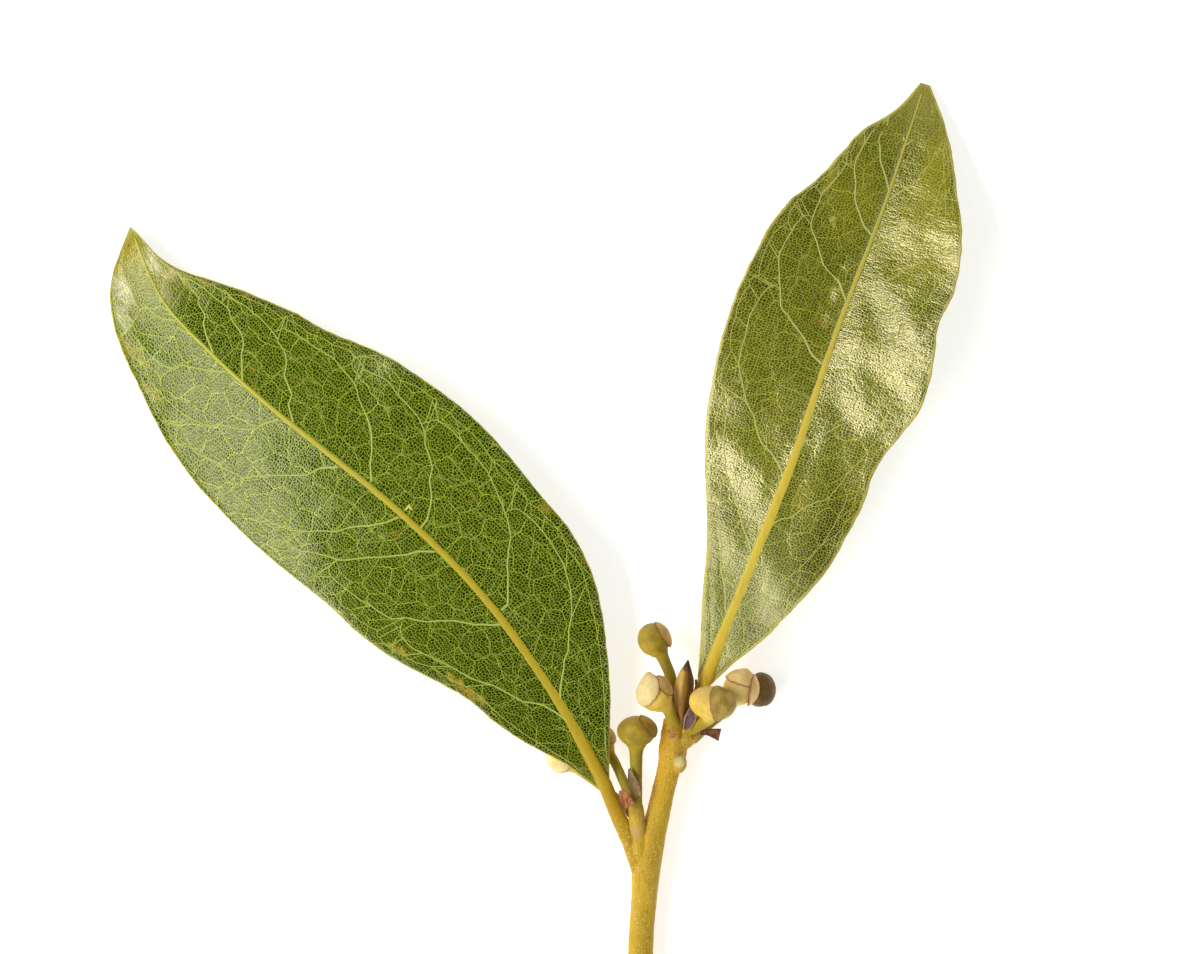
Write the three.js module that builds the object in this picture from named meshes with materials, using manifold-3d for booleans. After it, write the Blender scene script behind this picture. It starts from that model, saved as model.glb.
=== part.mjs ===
// A cut twig of bay laurel: two leaves, eight flower buds on stalks, a leaf bud and the small bracts
// between them, lying on a flat surface. Millimetres, +Z up.
// Points are written from the fork, where the left leaf leaves the twig, with z measured from the
// surface that the twig lies on. The finished group is then moved so that its origin is the middle of
// its footprint on that surface.
import * as THREE from "three";
import { mergeVertices } from "three/addons/utils/BufferGeometryUtils.js";
import Module from "manifold-3d";

const wasm = await Module();
wasm.setup();

// Clearance that every piece keeps from the piece it grows out of.
const GAP = 0.12;

// ---- the twig ----

const TWIG_SIDES = 14;
const TWIG_RINGS = 26;
const TWIG = {
  path: [
    [0.1, -25, 1.75],
    [0.1, -18.5, 2.05],
    [0.1, -12.5, 2.35],
    [0.5, -6.5, 2.75],
    [1.0, -1.0, 3.2],
    [2.3, 4.6, 3.7],
    [3.5, 9.8, 4.3],
    [4.15, 12.9, 4.75],
    [3.85, 16.5, 4.9],
  ],
  radius: [1.6, 1.58, 1.55, 1.6, 1.78, 1.46, 1.42, 1.8, 0.95],
};
// Swellings of the twig: where the leaf and the shoot leave it, the scar of a dropped leaf, and the node
// that carries the upper buds. turn is about the upright, in radians.
const SWELLINGS = [
  { centre: [0.0, 0.7, 3.45], halves: [1.5, 3.0, 1.4], turn: 0.1 },
  { centre: [4.6, 10.9, 4.85], halves: [1.25, 1.4, 1.2], turn: 0.0 },
  { centre: [5.3, 13.7, 4.8], halves: [2.6, 1.25, 1.5], turn: 0.6 },
];

// The short side shoot in the fork, which carries the lower buds.
const SIDE_SHOOT = {
  path: [
    [0.2, -0.4, 2.9],
    [-0.2, 2.0, 4.0],
    [-0.45, 4.5, 4.85],
    [-0.65, 7.4, 5.2],
  ],
  radius: [1.2, 1.15, 1.0, 0.65],
};

// ---- the leaves ----

const BLADE_STATIONS = 34;
const BLADE_STEPS = 6; // from the middle of the midrib to each margin, the first step over the midrib
const PETIOLE_RINGS = 8;
const SECTION_POINTS = 2 * (2 * BLADE_STEPS + 1);
const BLADE_THICKNESS = 0.4;
const LIFT_POWER = 1.1; // how late the blade leaves the midrib's level on its way to the margin
const SHOULDER = 1.8; // how far from the midrib the blade's fold along it has mostly been made

// midrib: from the blade's base to its tip. left and right are the sides seen from above, looking
// from base to tip: half is the half width, lift the margin's height over the midrib, and fold the
// height that the blade gains close by the midrib. All of them are spaced evenly from base to tip.
const LEFT_LEAF = {
  petiole: [
    [0.35, -2.8, 3.1],
    [-1.15, 0.9, 3.7],
    [-2.75, 4.2, 4.25],
    [-4.35, 8.1, 5.0],
  ],
  petioleRadius: [1.42, 1.12, 0.97, 0.88],
  midrib: [
    [-4.35, 8.1, 5.0],
    [-8.8, 16.3, 5.7],
    [-13.8, 24.0, 6.0],
    [-19.3, 31.4, 6.0],
    [-25.6, 38.1, 5.9],
    [-32.4, 44.3, 5.8],
    [-39.6, 50.1, 5.6],
    [-46.8, 55.9, 5.3],
    [-53.6, 62.1, 4.7],
    [-59.8, 68.9, 3.6],
    [-63.8, 77.9, 2.5],
  ],
  midribRadius: [0.86, 0.5, 0.38, 0.28, 0.2],
  left: {
    half: [
      0.9, 3.2, 6.0, 8.0, 9.2, 11.2, 13.0, 14.1, 14.6, 14.6, 14.8, 14.9, 14.7, 14.2, 13.5, 12.4, 10.9,
      9.1, 7.2, 4.7, 0.25,
    ],
    lift: [0.0, 0.1, 0.1, -0.1, -0.5, -1.6, -3.4, -4.1, -3.8, -2.6, -0.6],
    fold: [0.0, 0.1, 0.1, 0.0, -0.1, -0.2, -0.2, -0.2, -0.2, -0.1, 0.0],
  },
  right: {
    half: [
      0.6, 3.1, 5.9, 8.5, 10.9, 12.7, 13.6, 13.8, 14.3, 14.8, 14.9, 14.6, 14.2, 13.1, 11.8, 10.9, 9.4,
      7.5, 5.3, 2.1, 0.15,
    ],
    lift: [0.0, 0.1, 0.2, 0.3, 0.2, 0.1, 0.0, -0.1, -0.1, 0.8, 0.5],
    fold: [0.0, 0.1, 0.1, 0.1, 0.0, 0.0, 0.0, 0.0, 0.0, 0.0, 0.0],
  },
};

const RIGHT_LEAF = {
  petiole: [
    [4.9, 13.2, 4.7],
    [6.0, 15.9, 5.1],
    [6.9, 18.4, 5.4],
    [8.0, 21.0, 5.8],
  ],
  petioleRadius: [1.1, 0.85, 0.85, 0.9],
  midrib: [
    [8.0, 21.0, 5.8],
    [14.1, 35.8, 6.0],
    [19.9, 50.7, 5.2],
    [25.0, 65.8, 4.3],
    [30.7, 80.8, 2.9],
    [35.8, 95.9, 0.9],
  ],
  midribRadius: [0.9, 0.52, 0.42, 0.3, 0.2],
  left: {
    half: [
      0.9, 2.2, 3.7, 5.0, 6.2, 7.8, 9.5, 11.1, 12.2, 12.9, 13.4, 13.5, 13.5, 13.1, 12.6, 11.4, 9.1, 7.4,
      5.6, 2.4, 0.6,
    ],
    lift: [0.0, -0.9, -1.7, -2.4, -1.0, 0.8, 1.6, 1.6, 1.0, 0.4, 0.0],
    fold: [0.0, -0.2, -0.4, -0.5, -0.6, -0.3, 0.1, 0.1, 0.0, 0.0, 0.0],
  },
  right: {
    half: [
      0.9, 2.7, 4.9, 6.4, 8.0, 9.1, 9.6, 10.1, 9.9, 11.1, 12.6, 12.8, 12.3, 11.4, 11.8, 11.2, 9.9, 8.0,
      6.2, 3.8, 0.7,
    ],
    lift: [0.0, 1.2, 1.9, 1.0, 1.2, 3.6, 4.9, 5.2, 4.6, 1.4, 0.0],
    fold: [0.0, 0.1, 0.2, 0.1, 0.1, 0.3, 0.4, 0.3, 0.1, 0.0, 0.0],
  },
};

// ---- the flower buds ----

const BUD_SIDES = 12;
const STALK_RINGS = 7;
const HEAD_RINGS = 8;
const SHELL_RINGS = 4;
const BRACT_GAP = 0.12;
const BRACT_THICKNESS = 0.16;
const STALK_ANGLE = 2.45; // radians from the tip of a head to where its stalk takes over

// stalk: from the shoot to the head. axis: from the stalk through the head. along and across: the
// head's half height and half width. lumps: where the head swells, each with the direction it faces,
// its width in radians and its height. bracts: the outer bracts that wrap the head, each a cup whose
// middle faces `facing` and whose rim is `reach` radians away from there, and which stands off the
// head by `lift` more than the others.
const BUDS = {
  bud_top: {
    stalk: [
      [4.3, 15.0, 5.0],
      [4.25, 18.3, 5.0],
      [3.9, 21.4, 4.9],
    ],
    stalkRadius: [0.72, 0.64, 0.7],
    centre: [1.7, 26.3, 4.6],
    axis: [-0.45, 0.88, -0.05],
    along: 2.1,
    across: 2.0,
    bracts: { bud_top_bract: { facing: [0.83, 0.5, 0.05], reach: 1.0 } },
  },
  bud_left: {
    stalk: [
      [4.95, 15.5, 5.5],
      [4.15, 16.3, 7.0],
    ],
    stalkRadius: [0.66, 0.72],
    centre: [1.85, 19.6, 8.5],
    axis: [-0.62, 0.72, 0.3],
    along: 2.2,
    across: 2.1,
    lumps: [
      { facing: [-0.32, 0.94, 0.1], width: 0.32, height: 0.5 },
      { facing: [0.45, 0.88, 0.2], width: 0.3, height: 0.25 },
    ],
    bracts: {
      bud_left_bract_upper: { facing: [0.7, 0.62, 0.42], reach: 0.72 },
      bud_left_bract_lower: { facing: [-0.72, 0.3, 0.62], reach: 0.86, lift: 0.06 },
    },
  },
  bud_front: {
    stalk: [
      [6.15, 14.9, 5.6],
      [7.2, 15.7, 7.2],
    ],
    stalkRadius: [0.7, 0.78],
    centre: [8.85, 18.5, 9.5],
    axis: [0.2, 0.8, 0.55],
    along: 2.05,
    across: 2.12,
    lumps: [
      { facing: [-0.95, 0.2, 0.2], width: 0.85, height: 0.75 },
      { facing: [0.97, 0.0, 0.2], width: 0.8, height: 0.8 },
    ],
    bracts: { bud_front_bract: { facing: [0.92, 0.02, 0.39], reach: 1.3 } },
  },
  bud_right: {
    stalk: [
      [6.5, 13.8, 4.6],
      [8.5, 15.5, 4.4],
      [10.4, 17.2, 4.7],
    ],
    stalkRadius: [0.7, 0.6, 0.65],
    centre: [12.4, 20.25, 6.6],
    axis: [0.25, 0.66, 0.7],
    along: 2.2,
    across: 2.05,
    lumps: [
      { facing: [0.35, 0.92, 0.1], width: 0.25, height: 0.25 },
    ],
    bracts: {
      bud_right_bract: { facing: [0.25, 0.95, 0.2], reach: 1.15 },
      bud_right_bract_side: { facing: [0.97, -0.12, 0.1], reach: 0.8, lift: 0.3 },
    },
  },
  bud_far_right: {
    stalk: [
      [5.7, 14.9, 3.1],
      [7.6, 17.4, 2.4],
      [10.4, 19.3, 2.3],
    ],
    stalkRadius: [0.65, 0.56, 0.6],
    centre: [15.0, 19.9, 2.6],
    axis: [0.99, -0.1, 0.05],
    along: 1.85,
    across: 2.1,
    bracts: { bud_far_right_bract: { facing: [0.55, 0.2, 0.8], reach: 1.15 } },
  },
  bud_axil: {
    stalk: [
      [-0.55, 5.6, 5.5],
      [-0.5, 8.4, 5.9],
      [-0.5, 10.4, 6.1],
    ],
    stalkRadius: [0.8, 0.76, 0.76],
    centre: [-0.45, 14.9, 6.6],
    axis: [0.02, 0.99, 0.12],
    along: 1.95,
    across: 2.35,
    bracts: { bud_axil_bract: { facing: [0.82, 0.5, 0.3], reach: 0.8 } },
  },
  bud_behind_leaf: {
    stalk: [
      [-1.1, 6.4, 4.6],
      [-2.1, 8.6, 3.9],
      [-3.1, 10.8, 3.1],
    ],
    stalkRadius: [0.66, 0.6, 0.62],
    centre: [-5.0, 13.6, 2.25],
    axis: [-0.55, 0.82, -0.1],
    along: 1.9,
    across: 1.85,
    bracts: { bud_behind_leaf_bract: { facing: [0.6, 0.8, 0.4], reach: 1.0 } },
  },
  bud_under_leaf: {
    stalk: [
      [-0.9, 4.3, 3.9],
      [-2.3, 5.9, 2.6],
      [-5.6, 8.4, 2.0],
    ],
    stalkRadius: [0.65, 0.55, 0.58],
    centre: [-9.65, 11.45, 2.2],
    axis: [-0.78, 0.62, 0.02],
    along: 1.95,
    across: 1.9,
    bracts: { bud_under_leaf_bract: { facing: [-0.5, -0.2, 0.85], reach: 1.05 } },
  },
};

// ---- the leaf bud and the loose bracts ----

const LEAF_BUD = {
  path: [
    [5.15, 15.6, 6.0],
    [5.25, 18.2, 7.0],
    [5.55, 21.1, 7.6],
    [5.95, 23.8, 7.9],
  ],
  radius: [0.5, 0.9, 1.15, 0.1],
};

const SCALE_STEPS = 4; // across a bract
const SCALE_RINGS = 6;
const SCALE_THICKNESS = 0.24;

// half: half width from base to tip. cup: how far the middle stands over the margins. roll: how far
// the scale is turned about its path, in radians.
const SCALES = {
  leaf_bud_scale: {
    path: [
      [6.9, 17.0, 6.95],
      [7.15, 18.9, 7.1],
      [6.95, 21.4, 7.5],
    ],
    half: [0.35, 0.7, 0.12],
    cup: 0.15,
    roll: -1.0,
  },
  node_bract: {
    path: [
      [5.65, 15.2, 7.75],
      [6.2, 16.5, 8.2],
      [6.35, 18.0, 8.55],
    ],
    half: [0.35, 0.75, 0.2],
    cup: 0.15,
  },
  node_bract_right: {
    path: [
      [7.5, 14.7, 5.9],
      [8.6, 14.75, 6.1],
      [9.95, 14.45, 6.0],
    ],
    half: [0.22, 0.45, 0.8],
    cup: 0.3,
  },
  axil_bract: {
    path: [
      [-1.35, 5.5, 6.95],
      [-1.85, 6.5, 7.3],
      [-2.4, 7.6, 7.1],
    ],
    half: [0.95, 0.8, 0.3],
    cup: 0.25,
  },
  axil_bract_upper: {
    path: [
      [-0.2, 6.7, 6.75],
      [-0.8, 8.3, 7.2],
      [-1.35, 10.3, 7.2],
    ],
    half: [0.65, 1.05, 0.2],
    cup: 0.3,
  },
};

// ---- finishes ----

const FINISH = {
  bark: { color: 0xc8a43c, roughness: 0.6 },
  leaf: { color: 0x65721a, roughness: 0.35 },
  stalk: { color: 0xa2902e, roughness: 0.55 },
  budBract: { color: 0xc4a45a, roughness: 0.5 },
  darkScale: { color: 0x5c3a2a, roughness: 0.6 },
  leafBud: { color: 0x9a6c22, roughness: 0.55 },
};

// ---- working tools ----

// The value at t, from 0 to 1, of a smooth curve through evenly spaced values.
function along(values, t) {
  const last = values.length - 1;
  const place = Math.min(Math.max(t, 0), 1) * last;
  const i = Math.min(Math.floor(place), last - 1);
  const f = place - i;
  const b = values[i];
  const c = values[i + 1];
  const a = i > 0 ? values[i - 1] : 2 * b - c;
  const d = i + 2 <= last ? values[i + 2] : 2 * c - b;
  const bend = 2 * b - 2 * c + (c - a) / 2 + (d - b) / 2;
  return b + f * ((c - a) / 2 + f * (3 * (c - b) - (c - a) - (d - b) / 2 + f * bend));
}

// The point at t of a smooth curve through evenly spaced points.
function alongPoints(points, t) {
  const [x, y, z] = [0, 1, 2].map((axis) =>
    along(
      points.map((p) => p[axis]),
      t,
    ),
  );
  return new THREE.Vector3(x, y, z);
}

const evenly = (steps) => Array.from({ length: steps + 1 }, (_, i) => i / steps);

// A closed body through rings of points, every ring with the same number, closed by a fan at each end.
function skin(rings) {
  const around = rings[0].length;
  const middle = (ring) =>
    ring.reduce((sum, p) => sum.add(p), new THREE.Vector3()).divideScalar(around);
  const points = [...rings.flat(), middle(rings[0]), middle(rings.at(-1))];
  const startFan = points.length - 2;
  const endFan = points.length - 1;
  const lastRing = (rings.length - 1) * around;
  const faces = [];
  for (let j = 0; j < around; j++) {
    const next = (j + 1) % around;
    for (let k = 0; k < lastRing; k += around) {
      faces.push(k + j, k + next, k + around + next);
      faces.push(k + j, k + around + next, k + around + j);
    }
    faces.push(startFan, next, j);
    faces.push(endFan, lastRing + j, lastRing + next);
  }
  const positions = points.flatMap((p) => p.toArray());
  return solidOf(facingOut(positions, faces));
}

// The same body with its faces turned round if they point inwards.
function facingOut(positions, faces) {
  const at = (i) => new THREE.Vector3().fromArray(positions, 3 * i);
  let volume = 0;
  for (let i = 0; i < faces.length; i += 3) {
    volume += at(faces[i]).dot(at(faces[i + 1]).cross(at(faces[i + 2])));
  }
  const turned = volume < 0 ? faces.toReversed() : faces;
  return new THREE.BufferGeometry()
    .setAttribute("position", new THREE.Float32BufferAttribute(positions, 3))
    .setIndex(turned);
}

// A three.js geometry as a manifold-3d solid, for joining and cutting.
function solidOf(geometry) {
  const bare = geometry.clone();
  bare.deleteAttribute("normal");
  bare.deleteAttribute("uv");
  const merged = mergeVertices(bare, 1e-4);
  return new wasm.Manifold(
    new wasm.Mesh({
      numProp: 3,
      vertProperties: merged.attributes.position.array,
      triVerts: new Uint32Array(merged.index.array),
    }),
  );
}

// The largest body of a solid that a cut has split.
function largestOf(solid) {
  return solid.decompose().reduce((a, b) => (a.volume() > b.volume() ? a : b));
}

function geometryOf(solid) {
  const mesh = solid.getMesh();
  const geometry = new THREE.BufferGeometry()
    .setAttribute("position", new THREE.BufferAttribute(mesh.vertProperties, 3))
    .setIndex(new THREE.BufferAttribute(mesh.triVerts, 1));
  geometry.computeVertexNormals();
  return geometry;
}

// Two directions square to a course: level with the surface, and up from it.
function squareTo(course) {
  const level = new THREE.Vector3(-course.y, course.x, 0).normalize();
  return [level, course.clone().cross(level).negate().normalize()];
}

// A ring of points round a centre, square to a course. It starts on the left, goes over the top to the
// right, and comes back underneath.
function ringRound(centre, course, radius, sides) {
  const [level, up] = squareTo(course);
  return Array.from({ length: sides }, (_, i) => {
    const angle = (2 * Math.PI * (i + 0.5)) / sides;
    return centre
      .clone()
      .addScaledVector(level, radius * Math.cos(angle))
      .addScaledVector(up, radius * Math.sin(angle));
  });
}

// Rings of a round stem along a path, with its radius given at even steps. It can grow on all sides.
function stemRings({ path, radius }, steps, sides, grow = 0) {
  return evenly(steps).map((t) => {
    const ahead = alongPoints(path, Math.min(t + 0.01, 1));
    const behind = alongPoints(path, Math.max(t - 0.01, 0));
    const course = ahead.sub(behind).normalize();
    const centre = alongPoints(path, t).addScaledVector(course, grow * (2 * t - 1));
    return ringRound(centre, course, along(radius, t) + grow, sides);
  });
}

// ---- the pieces ----

// A smooth knob on the twig. It can grow on all sides.
function swelling({ centre, halves, turn }, grow = 0) {
  const [x, y, z] = halves.map((half) => half + grow);
  const knob = new THREE.SphereGeometry(1, 14, 9).scale(x, y, z).rotateZ(turn);
  return solidOf(knob.translate(...centre));
}

function twig(grow = 0) {
  const axis = skin(stemRings(TWIG, TWIG_RINGS, TWIG_SIDES, grow));
  return SWELLINGS.reduce((solid, knob) => solid.add(swelling(knob, grow)), axis);
}

function petioleRings(leaf, grow = 0) {
  const stem = { path: leaf.petiole, radius: leaf.petioleRadius };
  return stemRings(stem, PETIOLE_RINGS, SECTION_POINTS, grow);
}

// One cross-section of the blade: over the top from margin to margin, and back underneath. It is as
// thick as the midrib in the middle, and the midrib's edge is one step out from there.
function bladeSection(leaf, t) {
  const centre = alongPoints(leaf.midrib, t);
  const ahead = alongPoints(leaf.midrib, Math.min(t + 0.02, 1));
  const behind = alongPoints(leaf.midrib, Math.max(t - 0.02, 0));
  const [leftward] = squareTo(ahead.sub(behind).normalize());
  const rib = along(leaf.midribRadius, t);
  const upper = [];
  const lower = [];
  for (let step = -BLADE_STEPS; step <= BLADE_STEPS; step++) {
    const side = step < 0 ? leaf.left : leaf.right;
    const half = along(side.half, t);
    const edge = Math.min(rib, half / 2);
    const steps = Math.abs(step);
    const out = steps === 0 ? 0 : edge + ((half - edge) * (steps - 1)) / (BLADE_STEPS - 1);
    const point = centre.clone().addScaledVector(leftward, -Math.sign(step) * out);
    point.z += along(side.lift, t) * (out / half) ** LIFT_POWER;
    point.z += along(side.fold, t) * (1 - Math.exp(-out / SHOULDER));
    const thickness = steps === 0 ? 2 * rib : BLADE_THICKNESS;
    upper.push(point.clone().setZ(point.z + thickness / 2));
    lower.unshift(point.clone().setZ(point.z - thickness / 2));
  }
  return [...upper, ...lower];
}

// A leaf grows in one piece: petiole, midrib and blade.
function leaf(spec) {
  const blade = evenly(BLADE_STATIONS).map((t) => bladeSection(spec, t));
  return skin([...petioleRings(spec).slice(0, -1), ...blade]).subtract(twig(GAP));
}

// How far a head's surface is from its centre at an angle from its axis, before its lumps are added.
function plainReach(bud, angle) {
  return 1 / Math.hypot(Math.cos(angle) / bud.along, Math.sin(angle) / bud.across);
}

// How far a head's surface is from its centre in one direction.
function headReach(bud, outwards) {
  const angle = outwards.angleTo(new THREE.Vector3(...bud.axis));
  return (bud.lumps ?? []).reduce((reach, { facing, width, height }) => {
    const away = outwards.angleTo(new THREE.Vector3(...facing)) / width;
    return reach + height * Math.exp(-(away ** 2));
  }, plainReach(bud, angle));
}

// A ring of points on a cup or a head: all at one angle from the middle direction, seen from the
// centre, and each at its own distance.
function ringAt(centre, middle, angle, sides, distance) {
  const [level, up] = squareTo(middle);
  return Array.from({ length: sides }, (_, i) => {
    const turn = (2 * Math.PI * (i + 0.5)) / sides;
    const outwards = middle
      .clone()
      .multiplyScalar(Math.cos(angle))
      .addScaledVector(level, Math.sin(angle) * Math.cos(turn))
      .addScaledVector(up, Math.sin(angle) * Math.sin(turn));
    return centre.clone().addScaledVector(outwards, distance(outwards));
  });
}

// A head with its stalk, as one body of rings: up the stalk, then over the head to its tip.
function budRings(bud, grow = 0) {
  const centre = new THREE.Vector3(...bud.centre);
  const axis = new THREE.Vector3(...bud.axis).normalize();
  const neckReach = plainReach(bud, STALK_ANGLE);
  const neck = centre.clone().addScaledVector(axis, neckReach * Math.cos(STALK_ANGLE));
  const below = neck.clone().addScaledVector(axis, -0.9);
  const stalk = {
    path: [...bud.stalk, below.toArray(), neck.toArray()],
    radius: [...bud.stalkRadius, bud.stalkRadius.at(-1) * 1.15, neckReach * Math.sin(STALK_ANGLE)],
  };
  const rings = stemRings(stalk, STALK_RINGS, BUD_SIDES, grow);
  const distance = (outwards) => headReach(bud, outwards) + grow;
  for (const t of evenly(HEAD_RINGS).slice(1, -1)) {
    rings.push(ringAt(centre, axis, STALK_ANGLE * (1 - t), BUD_SIDES, distance));
  }
  return rings;
}

// An outer bract: a cup with an outer and an inner wall that follow the head.
function budBract(bud, { facing, reach, lift = 0 }) {
  const centre = new THREE.Vector3(...bud.centre);
  const middle = new THREE.Vector3(...facing).normalize();
  const wall = (share, away) => {
    const distance = (outwards) => headReach(bud, outwards) + lift + away;
    return ringAt(centre, middle, Math.max(share, 0.05) * reach, BUD_SIDES + 2, distance);
  };
  const shares = evenly(SHELL_RINGS);
  const outer = shares.map((share) => wall(share, BRACT_GAP + BRACT_THICKNESS));
  const inner = shares.map((share) => wall(share, BRACT_GAP));
  return skin([...outer, ...inner.reverse()]);
}

// A loose bract: a thin cupped scale along its path.
function scale({ path, half, cup, roll = 0 }) {
  const rings = evenly(SCALE_RINGS).map((t) => {
    const ahead = alongPoints(path, Math.min(t + 0.05, 1));
    const behind = alongPoints(path, Math.max(t - 0.05, 0));
    const course = ahead.sub(behind).normalize();
    const [level, up] = squareTo(course).map((direction) => direction.applyAxisAngle(course, roll));
    const upper = [];
    const lower = [];
    for (const share of evenly(SCALE_STEPS)) {
      const across = 2 * share - 1;
      const point = alongPoints(path, t)
        .addScaledVector(level, across * along(half, t))
        .addScaledVector(up, cup * (1 - across * across) * Math.sin(Math.PI * Math.min(0.2 + t, 0.9)));
      upper.push(point.clone().addScaledVector(up, SCALE_THICKNESS / 2));
      lower.unshift(point.clone().addScaledVector(up, -SCALE_THICKNESS / 2));
    }
    return [...upper, ...lower];
  });
  return skin(rings);
}

// ---- the assembly ----

const branch = new THREE.Group();

function place(name, solid, finish) {
  const material = new THREE.MeshStandardMaterial({ ...finish, metalness: 0 });
  const mesh = new THREE.Mesh(geometryOf(solid), material);
  mesh.name = name;
  branch.add(mesh);
}

// What the stalks and the shoot are cut back from, a gap away from the pieces that carry them.
const clearOfTwig = twig(GAP);
const clearOfPetioles = skin(petioleRings(LEFT_LEAF, GAP)).add(skin(petioleRings(RIGHT_LEAF, GAP)));
const shootRings = (grow) => stemRings(SIDE_SHOOT, 7, BUD_SIDES, grow);
const carriers = clearOfTwig.add(clearOfPetioles).add(skin(shootRings(GAP)));

place("twig", twig(), FINISH.bark);
// Between the twig and a petiole the cut leaves a thin sliver of the shoot, which is dropped.
const shoot = skin(shootRings(0)).subtract(clearOfTwig).subtract(clearOfPetioles);
place("side_shoot", largestOf(shoot), FINISH.bark);
place("left_leaf", leaf(LEFT_LEAF), FINISH.leaf);
place("right_leaf", leaf(RIGHT_LEAF), FINISH.leaf);
for (const [name, bud] of Object.entries(BUDS)) {
  place(name, skin(budRings(bud)).subtract(carriers), FINISH.stalk);
  for (const [bractName, bract] of Object.entries(bud.bracts)) {
    place(bractName, budBract(bud, bract), FINISH.budBract);
  }
}
// The leaf bud is also cut back from the two stalks beside its base.
const stalksBeside = skin(budRings(BUDS.bud_left, GAP)).add(skin(budRings(BUDS.bud_front, GAP)));
const leafBud = skin(stemRings(LEAF_BUD, 9, BUD_SIDES)).subtract(carriers).subtract(stalksBeside);
place("leaf_bud", leafBud, FINISH.leafBud);
for (const [name, spec] of Object.entries(SCALES)) {
  place(name, scale(spec).subtract(carriers), FINISH.darkScale);
}

const box = new THREE.Box3().setFromObject(branch, true);
const footprint = box.getCenter(new THREE.Vector3());
branch.position.set(-footprint.x, -footprint.y, -box.min.z);

export default branch;
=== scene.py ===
"""A cut twig of bay laurel with two leaves, eight flower buds on stalks, a leaf bud and small bracts,
lying on a white surface under a broad window light from the left.

Shapes are worked out in millimetres from the fork, where the left leaf leaves the twig, with z measured
from the surface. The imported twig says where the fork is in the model's own frame. Colours are display
colours of three 8-bit numbers."""

from collections import namedtuple

import bpy
import numpy as np
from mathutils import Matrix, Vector, noise


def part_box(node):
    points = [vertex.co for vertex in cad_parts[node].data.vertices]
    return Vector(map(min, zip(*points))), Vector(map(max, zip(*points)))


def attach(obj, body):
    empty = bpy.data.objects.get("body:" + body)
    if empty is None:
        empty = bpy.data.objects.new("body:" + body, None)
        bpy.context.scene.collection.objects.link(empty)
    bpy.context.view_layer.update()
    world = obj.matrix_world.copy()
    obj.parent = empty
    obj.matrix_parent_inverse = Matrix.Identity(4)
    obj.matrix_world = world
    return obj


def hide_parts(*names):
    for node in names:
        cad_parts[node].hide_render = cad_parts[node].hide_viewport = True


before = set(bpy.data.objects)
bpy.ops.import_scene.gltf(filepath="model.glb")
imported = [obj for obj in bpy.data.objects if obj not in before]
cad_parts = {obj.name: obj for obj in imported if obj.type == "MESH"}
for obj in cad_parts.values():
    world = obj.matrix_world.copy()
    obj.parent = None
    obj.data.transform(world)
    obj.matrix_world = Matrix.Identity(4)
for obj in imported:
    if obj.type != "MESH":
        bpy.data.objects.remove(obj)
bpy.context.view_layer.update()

MM = 0.001
BODY = "root"

# ---- the twig and the side shoot: centre lines and radii at even steps ----

TWIG_PATH = [
    (0.1, -25, 1.75), (0.1, -18.5, 2.05), (0.1, -12.5, 2.35), (0.5, -6.5, 2.75), (1.0, -1.0, 3.2),
    (2.3, 4.6, 3.7), (3.5, 9.8, 4.3), (4.15, 12.9, 4.75), (3.85, 16.5, 4.9),
]
TWIG_RADIUS = [1.6, 1.58, 1.55, 1.6, 1.78, 1.46, 1.42, 1.8, 0.95]
# Swellings of the twig, each a centre, three half sizes, and its turn about the upright in radians.
SWELLINGS = {
    "fork": ((0.0, 0.7, 3.45), (1.5, 3.0, 1.6), 0.1),
    "leaf_scar": ((4.6, 10.9, 4.85), (1.25, 1.4, 1.2), 0.0),
    "node_lobe": ((5.3, 13.7, 4.8), (2.6, 1.25, 1.5), 0.6),
}
SHOOT_PATH = [(0.2, -0.4, 2.9), (-0.2, 2.0, 4.0), (-0.45, 4.5, 4.85), (-0.65, 7.4, 5.2)]
SHOOT_RADIUS = [1.2, 1.15, 1.0, 0.65]

# ---- the leaves: half is each side's half width, lift its margin's height over the midrib, and
# fold the height of the shoulder close to the midrib ----

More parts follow.
